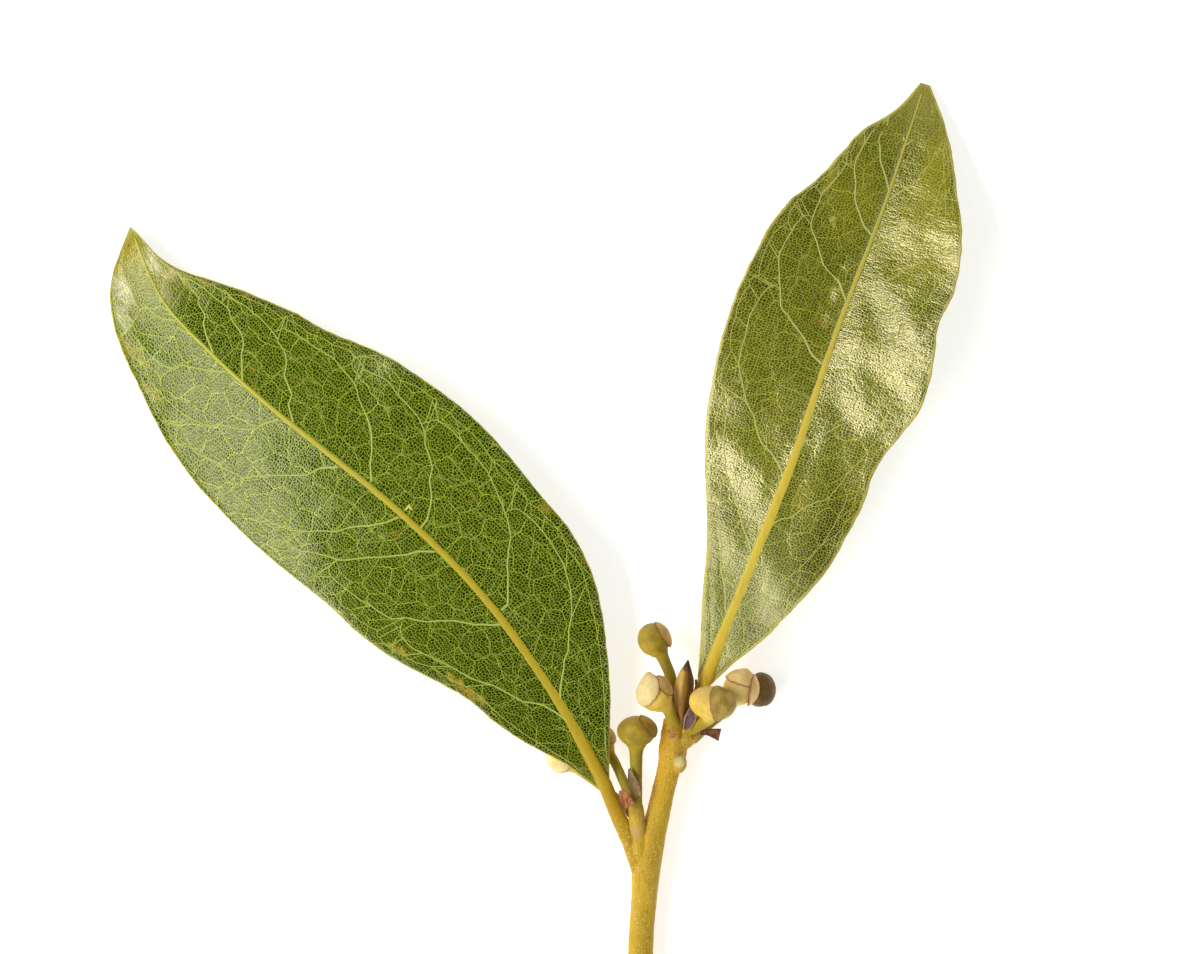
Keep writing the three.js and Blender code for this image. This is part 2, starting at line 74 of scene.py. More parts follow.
BLADE_THICKNESS = 0.36
LIFT_POWER = 1.1
SHOULDER = 1.8
LEFT_LEAF = {
    "petiole": [(0.35, -2.8, 2.85), (-1.15, 0.9, 3.6), (-2.75, 4.2, 4.25), (-4.35, 8.1, 5.0)],
    "petiole_radius": [1.36, 1.14, 0.97, 0.88],
    "midrib": [
        (-4.35, 8.1, 5.0), (-8.8, 16.3, 5.7), (-13.8, 24.0, 6.0), (-19.3, 31.4, 6.0), (-25.6, 38.1, 5.9),
        (-32.4, 44.3, 5.8), (-39.6, 50.1, 5.6), (-46.8, 55.9, 5.3), (-53.6, 62.1, 4.7), (-59.8, 68.9, 3.6),
        (-63.8, 77.9, 2.5),
    ],
    "midrib_radius": [0.9, 0.7, 0.54, 0.43, 0.36, 0.27, 0.19, 0.11],
    "left": {
        "half": [
            0.9, 3.2, 6.0, 8.0, 9.2, 11.2, 13.0, 14.1, 14.6, 14.6, 14.8, 14.9, 14.7, 14.2, 13.5, 12.4, 10.9,
            9.1, 7.2, 4.7, 0.25,
        ],
        "lift": [0.0, 0.1, 0.1, -0.1, -0.4, -1.3, -3.0, -4.1, -3.8, -2.6, -0.6],
        "fold": [0.0, 0.1, 0.1, 0.0, -0.1, -0.2, -0.2, -0.2, -0.2, -0.1, 0.0],
        "veins": [0.103, 0.255, 0.389, 0.456, 0.569, 0.663, 0.767, 0.859],
        "bold": 1.0,
    },
    "right": {
        "half": [
            0.6, 3.1, 5.9, 8.5, 10.9, 12.7, 13.6, 13.8, 14.3, 14.8, 14.9, 14.6, 14.2, 13.1, 11.8, 10.9, 9.4,
            7.5, 5.3, 2.1, 0.15,
        ],
        "lift": [0.0, 0.1, 0.2, 0.3, 0.2, 0.1, 0.0, -0.1, -0.1, 0.8, 0.5],
        "fold": [0.0, 0.1, 0.1, 0.1, 0.0, 0.0, 0.0, 0.0, 0.0, 0.0, 0.0],
        "veins": [0.123, 0.265, 0.419, 0.522, 0.655, 0.737, 0.8],
        "bold": 1.0,
    },
    "waves": 0.3,
    "dents": 0.16,
    "lumps": [(55.5, 15.5, 3.5, 1.1)],
    "seed": 3,
}
RIGHT_LEAF = {
    "petiole": [(4.9, 13.2, 4.7), (6.0, 15.9, 5.1), (6.9, 18.4, 5.4), (8.0, 21.0, 5.8)],
    "petiole_radius": [1.1, 0.85, 0.85, 0.9],
    "midrib": [
        (8.0, 21.0, 5.8), (14.1, 35.8, 6.0), (19.9, 50.7, 5.2), (25.0, 65.8, 4.3), (30.7, 80.8, 2.9),
        (35.8, 95.9, 0.9),
    ],
    "midrib_radius": [0.88, 0.7, 0.65, 0.57, 0.47, 0.35, 0.24, 0.1],
    "left": {
        "half": [
            0.9, 2.2, 3.7, 5.0, 6.2, 7.8, 9.5, 11.1, 12.2, 12.9, 13.4, 13.5, 13.5, 13.1, 12.6, 11.4, 9.1,
            7.4, 5.6, 2.4, 0.6,
        ],
        "lift": [0.0, -0.9, -1.7, -2.4, -1.0, 0.8, 1.6, 1.6, 1.0, 0.4, 0.0],
        "fold": [0.0, -0.2, -0.4, -0.5, -0.6, -0.3, 0.1, 0.1, 0.0, 0.0, 0.0],
        "veins": [0.09, 0.206, 0.34, 0.522, 0.639, 0.74, 0.82, 0.9],
        "bold": 1.2,
    },
    "right": {
        "half": [
            0.9, 2.7, 4.9, 6.4, 8.0, 9.1, 9.6, 10.1, 9.9, 11.1, 12.6, 12.8, 12.3, 11.4, 11.8, 11.2, 9.9, 8.0,
            6.2, 3.8, 0.7,
        ],
        "lift": [0.0, 1.2, 1.9, 1.0, 1.2, 3.5, 4.6, 4.7, 4.2, 1.4, 0.0],
        "fold": [0.0, 0.1, 0.2, 0.1, 0.1, 0.3, 0.4, 0.3, 0.1, 0.0, 0.0],
        "veins": [0.121, 0.261, 0.403, 0.54, 0.65, 0.73, 0.809, 0.89],
        "bold": 0.7,
    },
    "waves": 0.3,
    "dents": 0.34,
    "lumps": [(54.5, -2.5, 1.7, -0.7), (50.8, -2.5, 1.7, -0.8), (47.2, -2.4, 1.6, -0.6)],
    "seed": 8,
}

# ---- the flower buds ----

STALK_ANGLE = 2.45  # radians from the tip of a head to where its stalk takes over
BRACT_GAP = 0.03
BRACT_THICKNESS = 0.17

# skin and a bract's colour are keys of BUD_COLOURS and BRACT_COLOURS. Each bract is (name, facing, reach,
# lift, colour): lift is how far it stands off the head. Each lump is (facing, width, height).
Bud = namedtuple("Bud", "skin centre axis along across stalk stalk_radius bracts lumps")
BUDS = {
    "bud_top": Bud(
        "olive", (1.7, 26.3, 4.6), (-0.45, 0.88, -0.05), 2.1, 2.0,
        [(4.3, 15.0, 5.0), (4.25, 18.3, 5.0), (3.9, 21.4, 4.9)], [0.72, 0.64, 0.7],
        [("bud_top_bract", (0.83, 0.5, 0.05), 1.0, 0.0, "tan")], [((0.95, -0.3, 0.1), 0.4, 0.12)],
    ),
    "bud_left": Bud(
        "yellow", (1.85, 19.6, 8.5), (-0.62, 0.72, 0.3), 2.2, 2.1,
        [(4.95, 15.5, 5.5), (4.15, 16.3, 7.0)], [0.66, 0.72],
        [
            ("bud_left_bract_upper", (0.7, 0.62, 0.42), 0.72, 0.0, "tan"),
            ("bud_left_bract_lower", (-0.72, 0.3, 0.62), 1.0, 0.05, "cream"),
        ],
        [((-0.32, 0.94, 0.1), 0.32, 0.5), ((0.45, 0.88, 0.2), 0.3, 0.25)],
    ),
    "bud_front": Bud(
        "yellow", (8.85, 18.5, 9.5), (0.2, 0.8, 0.55), 2.05, 2.12,
        [(6.15, 14.9, 5.6), (7.2, 15.7, 7.2)], [0.7, 0.78],
        [("bud_front_bract", (0.92, 0.02, 0.39), 1.3, 0.0, "khaki")],
        [((-0.95, 0.2, 0.2), 0.85, 0.75), ((0.97, 0.0, 0.2), 0.8, 0.8)],
    ),
    # bud_right's skin and bracts are lighter than the other buds': its cream colour with painted light where
    # bud_front's shadow falls
    "bud_right": Bud(
        "pale", (12.4, 20.25, 6.6), (0.25, 0.66, 0.7), 2.2, 2.05,
        [(6.5, 13.8, 4.6), (8.5, 15.5, 4.4), (10.4, 17.2, 4.7)], [0.7, 0.6, 0.65],
        [
            ("bud_right_bract", (0.25, 0.95, 0.2), 1.15, 0.1, "sand"),
            ("bud_right_bract_side", (0.97, -0.12, 0.1), 0.95, 0.22, "sand"),
        ],
        [((0.35, 0.92, 0.1), 0.25, 0.25)],
    ),
    "bud_far_right": Bud(
        "brown", (15.0, 19.9, 2.6), (0.99, -0.1, 0.05), 1.85, 2.1,
        [(5.7, 14.9, 3.1), (7.6, 17.4, 2.4), (10.4, 19.3, 2.3)], [0.65, 0.56, 0.6],
        [("bud_far_right_bract", (0.55, 0.2, 0.8), 1.3, 0.0, "brown")], [],
    ),
    "bud_axil": Bud(
        "olive", (-0.45, 14.9, 6.6), (0.02, 0.99, 0.12), 1.95, 2.35,
        [(-0.55, 5.6, 5.5), (-0.5, 8.4, 5.9), (-0.5, 10.4, 6.1)], [0.8, 0.76, 0.76],
        [("bud_axil_bract", (0.82, 0.5, 0.3), 0.8, 0.0, "olive")],
        [((0.97, 0.2, 0.1), 0.4, 0.12), ((-0.95, 0.1, 0.1), 0.5, 0.1)],
    ),
    "bud_behind_leaf": Bud(
        "olive", (-5.0, 13.6, 2.25), (-0.55, 0.82, -0.1), 1.9, 1.85,
        [(-1.1, 6.4, 4.6), (-2.1, 8.6, 3.9), (-3.1, 10.8, 3.1)], [0.66, 0.6, 0.62],
        [("bud_behind_leaf_bract", (0.6, 0.8, 0.4), 1.0, 0.0, "khaki")], [],
    ),
    "bud_under_leaf": Bud(
        "yellow", (-9.65, 11.45, 2.2), (-0.78, 0.62, 0.02), 1.95, 1.9,
        [(-0.9, 4.3, 3.9), (-2.3, 5.9, 2.6), (-5.6, 8.4, 2.0)], [0.65, 0.55, 0.58],
        [("bud_under_leaf_bract", (-0.5, -0.2, 0.85), 1.05, 0.0, "cream")], [],
    ),
}

# ---- the leaf bud and the loose bracts ----

LEAF_BUD_PATH = [(5.15, 15.6, 6.0), (5.25, 18.2, 7.0), (5.55, 21.1, 7.6), (5.95, 23.8, 7.9)]
LEAF_BUD_RADIUS = [0.5, 0.9, 1.15, 0.1]
Scale = namedtuple("Scale", "finish path half cup roll")
SCALES = {
    "leaf_bud_scale": Scale(
        "gold_scale", [(6.9, 17.0, 6.95), (7.15, 18.9, 7.1), (6.95, 21.4, 7.5)],
        [0.35, 0.7, 0.12], 0.15, -1.0,
    ),
    "node_bract": Scale(
        "dark_scale", [(5.65, 15.2, 7.75), (6.2, 16.5, 8.2), (6.35, 18.0, 8.55)],
        [0.35, 0.75, 0.2], 0.15, 0.0,
    ),
    "node_bract_right": Scale(
        "russet_scale", [(7.5, 14.7, 5.9), (8.6, 14.75, 6.1), (9.95, 14.45, 6.0)],
        [0.22, 0.45, 0.8], 0.3, 0.0,
    ),
    "axil_bract": Scale(
        "orange_scale", [(-1.35, 5.5, 6.95), (-1.85, 6.5, 7.3), (-2.4, 7.6, 7.1)],
        [0.95, 0.8, 0.3], 0.25, 0.0,
    ),
    "axil_bract_upper": Scale(
        "grey_scale", [(-0.2, 6.7, 6.75), (-0.8, 8.3, 7.2), (-1.35, 10.3, 7.2)],
        [0.45, 0.72, 0.15], 0.3, 0.0,
    ),
}

# ---- colours and marks: each patch of a blade is (u, v, length, width, tint, strength) in millimetres
# along and across the midrib ----

BUD_COLOURS = {
    "olive": ((186, 158, 40), (154, 128, 28), (160, 140, 30), (180, 146, 72)),
    "yellow": ((248, 212, 98), (228, 188, 64), (174, 150, 34), (240, 200, 128)),
    # pale is the yellow skin made lighter: cream colour with painted light, for bud_right in bud_front's
    # shadow
    "pale": ((254, 226, 138), (244, 208, 108), (174, 150, 34), (244, 206, 136)),
    "brown": ((146, 116, 36), (112, 86, 26), (150, 128, 30), (132, 100, 52)),
}
BRACT_COLOURS = {
    "olive": ((186, 154, 62), (158, 126, 42), (128, 92, 34)),
    "tan": ((226, 186, 106), (202, 158, 78), (168, 114, 62)),
    # sand is the tan bract made lighter: painted light, for bud_right in bud_front's shadow
    "sand": ((250, 212, 138), (232, 190, 112), (180, 124, 72)),
    "cream": ((254, 230, 166), (240, 206, 134), (208, 158, 108)),
    "khaki": ((200, 170, 84), (160, 132, 50), (180, 120, 70)),
    "brown": ((136, 108, 56), (106, 82, 42), (84, 58, 34)),
}
SCALE_COLOURS = {
    "gold_scale": ((150, 104, 38), (106, 72, 30), (84, 56, 34)),
    "dark_scale": ((124, 88, 82), (92, 62, 58), (206, 160, 124)),
    "russet_scale": ((146, 94, 60), (104, 62, 42), (70, 42, 32)),
    "orange_scale": ((206, 132, 72), (150, 82, 38), (110, 58, 30)),
    "grey_scale": ((160, 128, 80), (122, 94, 54), (82, 60, 42)),
}

BROWN, RUST, BLACK = (140, 96, 24), (166, 128, 26), (28, 26, 10)
STRAW, TICK, PALE = (206, 172, 62), (226, 220, 116), (150, 160, 110)
# Of these three tints, the whitish middle one is dry tissue with a painted sheen, and BEIGE is a painted
# sheen.
OCHRE, DRY_AND_SHEEN, BEIGE = (172, 146, 26), (232, 222, 190), (214, 194, 142)
# The yellow tint here is a yellowing of the leaf, and painted sheen where it lightens the right leaf's right
# margin.
DEEP, YELLOWING_AND_SHEEN, HALO = (34, 54, 0), (150, 140, 12), (206, 206, 148)
DOT = (240, 212, 118)

LEFT_LOOK = {
    "cell": (32, 54, 0),
    "cell_light": (54, 78, 0),
    "cell_base": (34, 54, 0),
    "net": (208, 224, 58),
    "vein": (200, 214, 76),
    "ends": (178, 168, 74),
    "rim": (200, 190, 60),
    "rim_reach": 0.16,
    "dome": 0.012,
    "ripple": 0.035,
    "sheen": (1.0, 0.97, 0.62, 1.0),
    "gloss": 0.62,
    "roughness": 0.14,
    "ior": 1.5,
    "base_reach": 44.0,
    "base_roughness": 0.0,
    "halo": 0.0,
    "length": 92.5,
    "shades": [],
    "patches": [
        (31.4, -12.7, 1.3, 0.6, STRAW, 0.9), (29.8, -12.2, 1.5, 0.65, STRAW, 0.95),
        (29.2, -12.1, 0.5, 0.3, BROWN, 0.8), (22.4, -9.4, 1.5, 0.55, STRAW, 0.9),
        (20.8, -8.9, 1.6, 0.6, STRAW, 0.95), (19.2, -8.5, 1.5, 0.75, STRAW, 0.95),
        (17.8, -7.9, 1.2, 0.5, STRAW, 0.85), (20.2, -9.0, 0.5, 0.25, BROWN, 0.8),
        (18.9, -8.7, 0.4, 0.25, BROWN, 0.7), (67.8, 0.8, 1.0, 0.5, RUST, 0.6),
        (69.2, 2.0, 0.8, 0.5, RUST, 0.5), (70.8, 3.5, 0.9, 0.4, TICK, 0.4),
        (64.3, 4.4, 0.7, 0.5, RUST, 0.5), (52.6, 8.9, 0.9, 0.6, TICK, 0.35),
        (38.5, 7.1, 1.0, 0.9, RUST, 0.3), (51.4, -5.0, 1.5, 1.2, PALE, 0.25),
        (31.3, 13.1, 1.2, 0.7, STRAW, 0.5), (42.0, -2.4, 0.8, 0.5, RUST, 0.6),
        (77.6, 8.3, 3.0, 0.7, RUST, 0.6), (83.2, 5.6, 3.6, 0.7, RUST, 0.7),
        (87.2, 3.2, 1.6, 0.5, RUST, 0.7), (80.8, -7.0, 3.2, 1.1, STRAW, 0.5),
        # Near the tip, on this and the next two lines, the BEIGE patches are painted sheen and the whitish
        # patches are dry tissue with painted sheen.
        (76.4, -8.8, 3.0, 0.8, STRAW, 0.45), (84.2, 0.6, 2.4, 1.1, BEIGE, 0.45),
        (85.9, 2.2, 1.5, 1.2, BEIGE, 0.75), (88.2, 1.0, 2.0, 0.9, DRY_AND_SHEEN, 0.75),
        (86.9, -4.0, 2.6, 1.7, DRY_AND_SHEEN, 0.85), (84.4, -5.4, 1.9, 1.2, DRY_AND_SHEEN, 0.8),
        (90.9, -1.3, 2.6, 2.4, OCHRE, 0.9), (89.0, -3.3, 0.9, 0.6, STRAW, 0.8),
    ],
    "specks": [
        (45.9, 6.2, 0.25, 0.25, BLACK, 1.0), (38.5, 7.1, 0.25, 0.25, BLACK, 1.0),
        (64.3, -8.6, 0.25, 0.25, BLACK, 0.9), (43.0, 1.1, 0.22, 0.8, TICK, 1.0),
        (42.7, 1.3, 0.5, 0.2, TICK, 1.0), (77.5, -6.0, 0.25, 0.25, BROWN, 0.9),
        (28.6, -12.1, 0.18, 0.18, BLACK, 0.8), (91.2, -1.1, 0.3, 0.25, BROWN, 0.9),
        (90.3, -0.5, 0.22, 0.3, BROWN, 0.9), (89.7, -1.9, 0.3, 0.22, BROWN, 0.8),
        (87.6, -0.5, 0.3, 0.5, BROWN, 0.7), (86.4, -1.5, 0.5, 0.3, BROWN, 0.6),
    ],
}
RIGHT_LOOK = {
    "cell": (76, 86, 0),
    "cell_light": (122, 124, 0),
    "cell_base": (80, 104, 0),
    "net": (238, 236, 72),
    "vein": (214, 212, 66),
    "ends": (186, 176, 76),
    "rim": (222, 206, 84),
    "rim_reach": 0.5,
    "dome": 0.013,
    "ripple": 0.07,
    "sheen": (1.0, 0.87, 0.55, 1.0),
    "gloss": 1.0,
    "roughness": 0.21,
    "ior": 1.9,
    "base_reach": 28.0,
    "base_roughness": 0.16,
    "halo": 0.5,
    "length": 79.9,
    "shades": [
        (23.4, 7.2, 6.0, 2.8, DEEP, 0.8), (17.7, 6.4, 4.0, 1.6, DEEP, 0.7), (8.5, 3.8, 4.0, 1.7, DEEP, 0.8),
        # The DEEP strip at (12.0, -5.2) along the left margin is painted shade of the folded margin.
        (20.0, -6.0, 2.4, 2.2, DEEP, 0.8), (12.0, -5.2, 8.0, 0.8, DEEP, 0.9),
        (52.0, 10.6, 7.0, 2.0, DEEP, 0.4), (70.0, 4.6, 8.0, 3.0, YELLOWING_AND_SHEEN, 0.8),
        (26.0, 2.6, 3.4, 1.8, YELLOWING_AND_SHEEN, 0.6), (64.0, -4.0, 9.0, 5.0, YELLOWING_AND_SHEEN, 0.4),
        # This patch is painted sheen: it lightens the cells near the right leaf's right margin.
        (62.0, 6.5, 9.0, 6.0, YELLOWING_AND_SHEEN, 0.5),
    ],
    "patches": [
        (47.2, -2.7, 0.8, 0.7, RUST, 0.6), (60.0, -5.6, 0.7, 0.6, TICK, 0.9),
        (59.4, -5.1, 0.6, 0.3, TICK, 0.9), (54.8, 5.4, 0.9, 0.35, RUST, 0.8),
        (65.6, -7.6, 1.4, 0.7, STRAW, 0.8), (63.2, -7.8, 1.2, 0.6, STRAW, 0.7),
        (70.5, -5.4, 1.0, 0.6, STRAW, 0.6), (24.0, -8.3, 0.8, 0.5, RUST, 0.6),
    ],
    "specks": [(47.2, -2.4, 0.25, 0.25, BROWN, 0.8)],
}
PETIOLE = (190, 152, 22)
LEFT_RIB = (PETIOLE, (190, 168, 30), (204, 198, 74))
RIGHT_RIB = ((216, 176, 44), (224, 198, 66), (194, 186, 80))

# Patches of the bark: a centre, a reach, a tint and a strength.
BARK_PATCHES = [
    ((-0.6, 2.3, 4.9), 1.4, (200, 166, 112), 0.9), ((0.2, 3.6, 5.0), 1.0, (196, 164, 108), 0.8),
    ((-0.4, 5.2, 5.8), 1.2, (150, 140, 56), 0.7), ((0.0, 6.6, 5.7), 1.1, (130, 114, 84), 0.8),
    ((5.2, 13.2, 6.2), 1.7, (176, 160, 60), 0.6), ((4.0, 14.6, 6.3), 0.9, (180, 126, 88), 0.9),
    ((3.4, 14.9, 6.3), 0.45, (138, 84, 54), 0.9), ((4.2, 14.45, 6.4), 0.45, (138, 84, 54), 0.9),
    ((5.0, 14.2, 6.3), 0.5, (150, 92, 60), 0.8), ((5.8, 14.25, 6.3), 0.45, (160, 120, 80), 0.8),
    ((6.6, 14.3, 6.1), 0.5, (136, 74, 44), 0.9), ((7.3, 14.6, 5.7), 0.5, (120, 70, 44), 0.9),
    # The dark patch at (4.75, 12.0, 6.1) is painted shade in the notch above the leaf scar.
    ((4.75, 12.0, 6.1), 0.75, (132, 88, 42), 0.9), ((4.8, 11.1, 6.0), 1.05, (206, 190, 96), 0.7),
]
NUB_PLACE = (4.95, 11.0, 6.0)


# ---- curves ----


def even(count):
    """Evenly spaced shares from 0 to 1."""
    return np.linspace(0, 1, count)


def along(values, t):
    """Values at t, from 0 to 1, of a smooth curve through evenly spaced numbers or points."""
    values = np.asarray(values, float)
    last = len(values) - 1
    place = np.clip(np.asarray(t, float), 0, 1) * last
    i = np.minimum(np.floor(place).astype(int), last - 1)
    f = place - i
    first = i == 0
    final = i + 2 > last
    if values.ndim > 1:
        f, first, final = f[..., None], first[..., None], final[..., None]
    b, c = values[i], values[i + 1]
    a = np.where(first, 2 * b - c, values[np.maximum(i - 1, 0)])
    d = np.where(final, 2 * c - b, values[np.minimum(i + 2, last)])
    bend = 2 * b - 2 * c + (c - a) / 2 + (d - b) / 2
    return b + f * ((c - a) / 2 + f * (3 * (c - b) - (c - a) - (d - b) / 2 + f * bend))


def unit(v):
    v = np.asarray(v, float)
    return v / np.linalg.norm(v, axis=-1, keepdims=True)


def square_to(course):
    """Two directions square to a course: level with the surface, and up from it."""
    course = unit(course)
    level = unit(np.stack([-course[..., 1], course[..., 0], 0 * course[..., 0]], axis=-1))
    return level, unit(np.cross(course, level))


def course_of(path, t, step=0.01):
    return unit(along(path, np.minimum(t + step, 1)) - along(path, np.maximum(t - step, 0)))


def turns(sides, start=0.5):
    return 2 * np.pi * (np.arange(sides) + start) / sides


def rings_round(centres, courses, radii, sides, top=1.0, arch=1.0):
    """A ring of points round each centre. It starts on the left and goes over the top to the right.
    top is how high the upper half stands, as a share of the radius, and arch below 1 squares it off."""
    level, up = square_to(courses)
    radii = np.asarray(radii)[:, None]
    across = np.cos(turns(sides)) * radii
    rise = np.sin(turns(sides))
    upper = np.maximum(rise, 0) ** arch * np.reshape(top, (-1, 1))
    height = np.where(rise > 0, upper, rise) * radii
    return centres[:, None] + level[:, None] * across[..., None] + up[:, None] * height[..., None]


def stem_rings(path, radius, steps, sides):
    t = even(steps + 1)
    return rings_round(along(path, t), course_of(path, t), along(radius, t), sides)


def spokes(axis, sides, start):
    """Unit vectors square to an axis, all round it."""
    level, up = square_to(axis)
    turn = turns(sides, start)[:, None]
    return level * np.cos(turn) + up * np.sin(turn)


def leaning(axis, spoke, angle):
    """Unit vectors at angles from an axis, each towards its spoke."""
    return spoke[None] * np.sin(angle)[..., None] + axis * np.cos(angle)[..., None]


def rough(points, size, seed=0):
    """Smooth noise at each point, about -1 to 1, with features of the given size in millimetres."""
    flat = np.asarray(points, float).reshape(-1, 3) / size + 17.3 * seed
    made = np.array([noise.noise(Vector(p)) for p in flat])
    return made.reshape(np.shape(points)[:-1])


def knobbly(rings, grain):
    """Rings pushed outwards by grain at each point."""
    out = unit(rings - rings.mean(axis=1, keepdims=True))
    return rings + out * grain[..., None]


def lowest_of_twig():
    """The lowest corner of the twig and its swellings, in millimetres from the fork."""
    corners = [stem_rings(TWIG_PATH, TWIG_RADIUS, 26, 14).min(axis=(0, 1))]
    corners += [np.subtract(centre, size) for centre, size, _ in SWELLINGS.values()]
    return np.min(corners, axis=0)


# The fork's place in the model's frame.
FORK = np.array(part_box("twig")[0]) / MM - lowest_of_twig()


# ---- meshes ----


def add_object(name, data):
    made = bpy.data.objects.new(name, data)
    bpy.context.scene.collection.objects.link(made)
    return made


def with_ends(values):
    """One value for each point of a skin, whose two last points take the mean of the end rings."""
    ends = np.stack([values[0].mean(axis=0), values[-1].mean(axis=0)])
    return np.concatenate([values.reshape((-1,) + values.shape[2:]), ends])


def skin_faces(rings, around):
    """Faces over rings with the same number of points, and a fan at each end round two last points."""
    k, j = np.meshgrid(np.arange(rings - 1) * around, np.arange(around), indexing="ij")
    ahead = (j + 1) % around
    quads = np.stack([k + j, k + around + j, k + around + ahead, k + ahead], axis=-1).reshape(-1, 4)
    top, start = (rings - 1) * around, rings * around
    pairs = list(zip(j[0].tolist(), ahead[0].tolist()))
    fans = [(start, a, b) for a, b in pairs] + [(start + 1, top + b, top + a) for a, b in pairs]
    return quads.tolist() + fans


def skin(name, rings, materials, attributes, face_slots=None):
    """A smooth-shaded closed object, its faces outwards, over rings of points in millimetres from the
    fork. An attribute is one value for all of them, or one for each ring or each point."""
    faces = skin_faces(*rings.shape[:2])
    points = with_ends(rings)
    triangles = np.array([(f[0], f[i], f[i + 1]) for f in faces for i in range(1, len(f) - 1)])
    a, b, c = (points[triangles[:, i]] for i in range(3))
    if np.einsum("ij,ij->", a, np.cross(b, c)) < 0:
        faces = [f[::-1] for f in faces]
    placed = points + FORK
    placed[:, 2] = np.maximum(placed[:, 2], 0)  # nothing reaches below the surface that it lies on
    mesh = bpy.data.meshes.new(name)
    mesh.from_pydata((placed * MM).tolist(), [], faces)
    for material in materials:
        mesh.materials.append(material)
    if face_slots is not None:
        mesh.polygons.foreach_set("material_index", np.asarray(face_slots, np.int32))
    for key, values in attributes.items():
        values = np.asarray(values, float)
        spread = np.broadcast_to(values, rings.shape[:2] + values.shape[2:])
        kind, field = ("FLOAT", "value") if spread.ndim == 2 else ("FLOAT_VECTOR", "vector")
        layer = mesh.attributes.new(key, kind, "POINT")
        layer.data.foreach_set(field, with_ends(spread).astype(np.float32).ravel())
    mesh.shade_smooth()
    mesh.update()
    return add_object(name, mesh)


def join(pieces):
    """The pieces as one object, which keeps the first one's name."""
    bpy.ops.object.select_all(action="DESELECT")
    for piece in pieces:
        piece.select_set(True)
    bpy.context.view_layer.objects.active = pieces[0]
    bpy.ops.object.join()
    return pieces[0]


def finish_piece(piece, node):
    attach(piece, BODY)
    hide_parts(node)


# ---- node trees ----


class Nodes:
    """A node tree. Each node is added with its settings and with its inputs' values or links."""

    def __init__(self, tree):
        self.tree = tree

    def node(self, kind, settings=None, inputs=None, output=0):
        """Adds a node and gives one of its outputs as a Value."""
        made = self.tree.nodes.new(kind)
        for key, value in (settings or {}).items():
            setattr(made, key, value)
        for key, value in (inputs or {}).items():
            if isinstance(value, Value):
                self.tree.links.new(value.socket, made.inputs[key])
            else:
                made.inputs[key].default_value = value
        return Value(self, made.outputs[output]) if made.outputs else None


class Value:
    """A socket of a node tree. Arithmetic on it adds Math nodes."""

    def __init__(self, nodes, socket):
        self.nodes = nodes
        self.socket = socket

    def math(self, operation, *others):
        inputs = dict(enumerate((self, *others)))
        return self.nodes.node("ShaderNodeMath", {"operation": operation}, inputs)

    def __add__(self, other):
        return self.math("ADD", other)

    def __sub__(self, other):
        return self.math("SUBTRACT", other)

    def __mul__(self, other):
        return self.math("MULTIPLY", other)

    def __rsub__(self, other):
        return self.nodes.node("ShaderNodeMath", {"operation": "SUBTRACT"}, {0: other, 1: self})

    __radd__ = __add__
    __rmul__ = __mul__

    def rise(self, low, high):
        """0 below low, 1 above high, and smooth between."""
        inputs = {"Value": self, "From Min": low, "From Max": high}
        return self.nodes.node("ShaderNodeMapRange", {"interpolation_type": "SMOOTHSTEP"}, inputs)

    def vector(self, operation, inputs, output="Vector"):
        return self.nodes.node("ShaderNodeVectorMath", {"operation": operation}, {0: self, **inputs}, output)

    def scaled(self, factor):
        return self.vector("SCALE", {"Scale": factor})

    def moved(self, shift):
        return self.vector("ADD", {1: shift})

    def stretched(self, *factors):
        return self.vector("MULTIPLY", {1: factors})

    def distance(self, point):
        return self.vector("DISTANCE", {1: point}, "Value")

    def part(self, letter):
        return self.nodes.node("ShaderNodeSeparateXYZ", {}, {0: self}, letter)

    def texture(self, kind, size, output, settings=None, **others):
        inputs = {"Vector": self, "Scale": 1 / size, **others}
        return self.nodes.node("ShaderNodeTex" + kind, settings, inputs, output)

    def cloud(self, size, detail=2.0):
        """Noise from 0 to 1 with features of the given size in millimetres."""
        return self.texture("Noise", size, "Fac", Detail=detail)

    def cells(self, size):
        """Millimetres from the nearest edge of a flat net with cells of the given size."""
        settings = {"feature": "DISTANCE_TO_EDGE", "voronoi_dimensions": "2D"}
        return self.texture("Voronoi", size, "Distance", settings, Randomness=0.8) * size

    def dots(self, size):
        """Millimetres from the nearest of scattered points that are about size apart."""
        return self.texture("Voronoi", size, "Distance", {"feature": "F1"}) * size

    def warped(self, size, reach):
        """The vector pushed about by noise, up to half of reach each way."""
        push = self.texture("Noise", size, "Color").moved((-0.5, -0.5, -0.5))
        return self.moved(push.scaled(reach))


class Growth(Nodes):
    """A geometry tree with named inputs, which ends in Realize Instances and Set Material."""

    def __init__(self, name, **inputs):
        super().__init__(bpy.data.node_groups.new(name, "GeometryNodeTree"))
        for label, kind in {"Geometry": "Geometry", **inputs, "Finish": "Material"}.items():
            self.tree.interface.new_socket(label, in_out="INPUT", socket_type="NodeSocket" + kind)
        self.tree.interface.new_socket("Geometry", in_out="OUTPUT", socket_type="NodeSocketGeometry")
        source = self.tree.nodes.new("NodeGroupInput")
        self.given = {label: Value(self, source.outputs[label]) for label in ("Geometry", *inputs, "Finish")}

    def ended(self, made):
        made = self.node("GeometryNodeSetShadeSmooth", {}, {"Geometry": made})
        made = self.node("GeometryNodeRealizeInstances", {}, {"Geometry": made})
        inputs = {"Geometry": made, "Material": self.given["Finish"]}
        made = self.node("GeometryNodeSetMaterial", {}, inputs)
        self.node("NodeGroupOutput", {}, {"Geometry": made})
        return self.tree


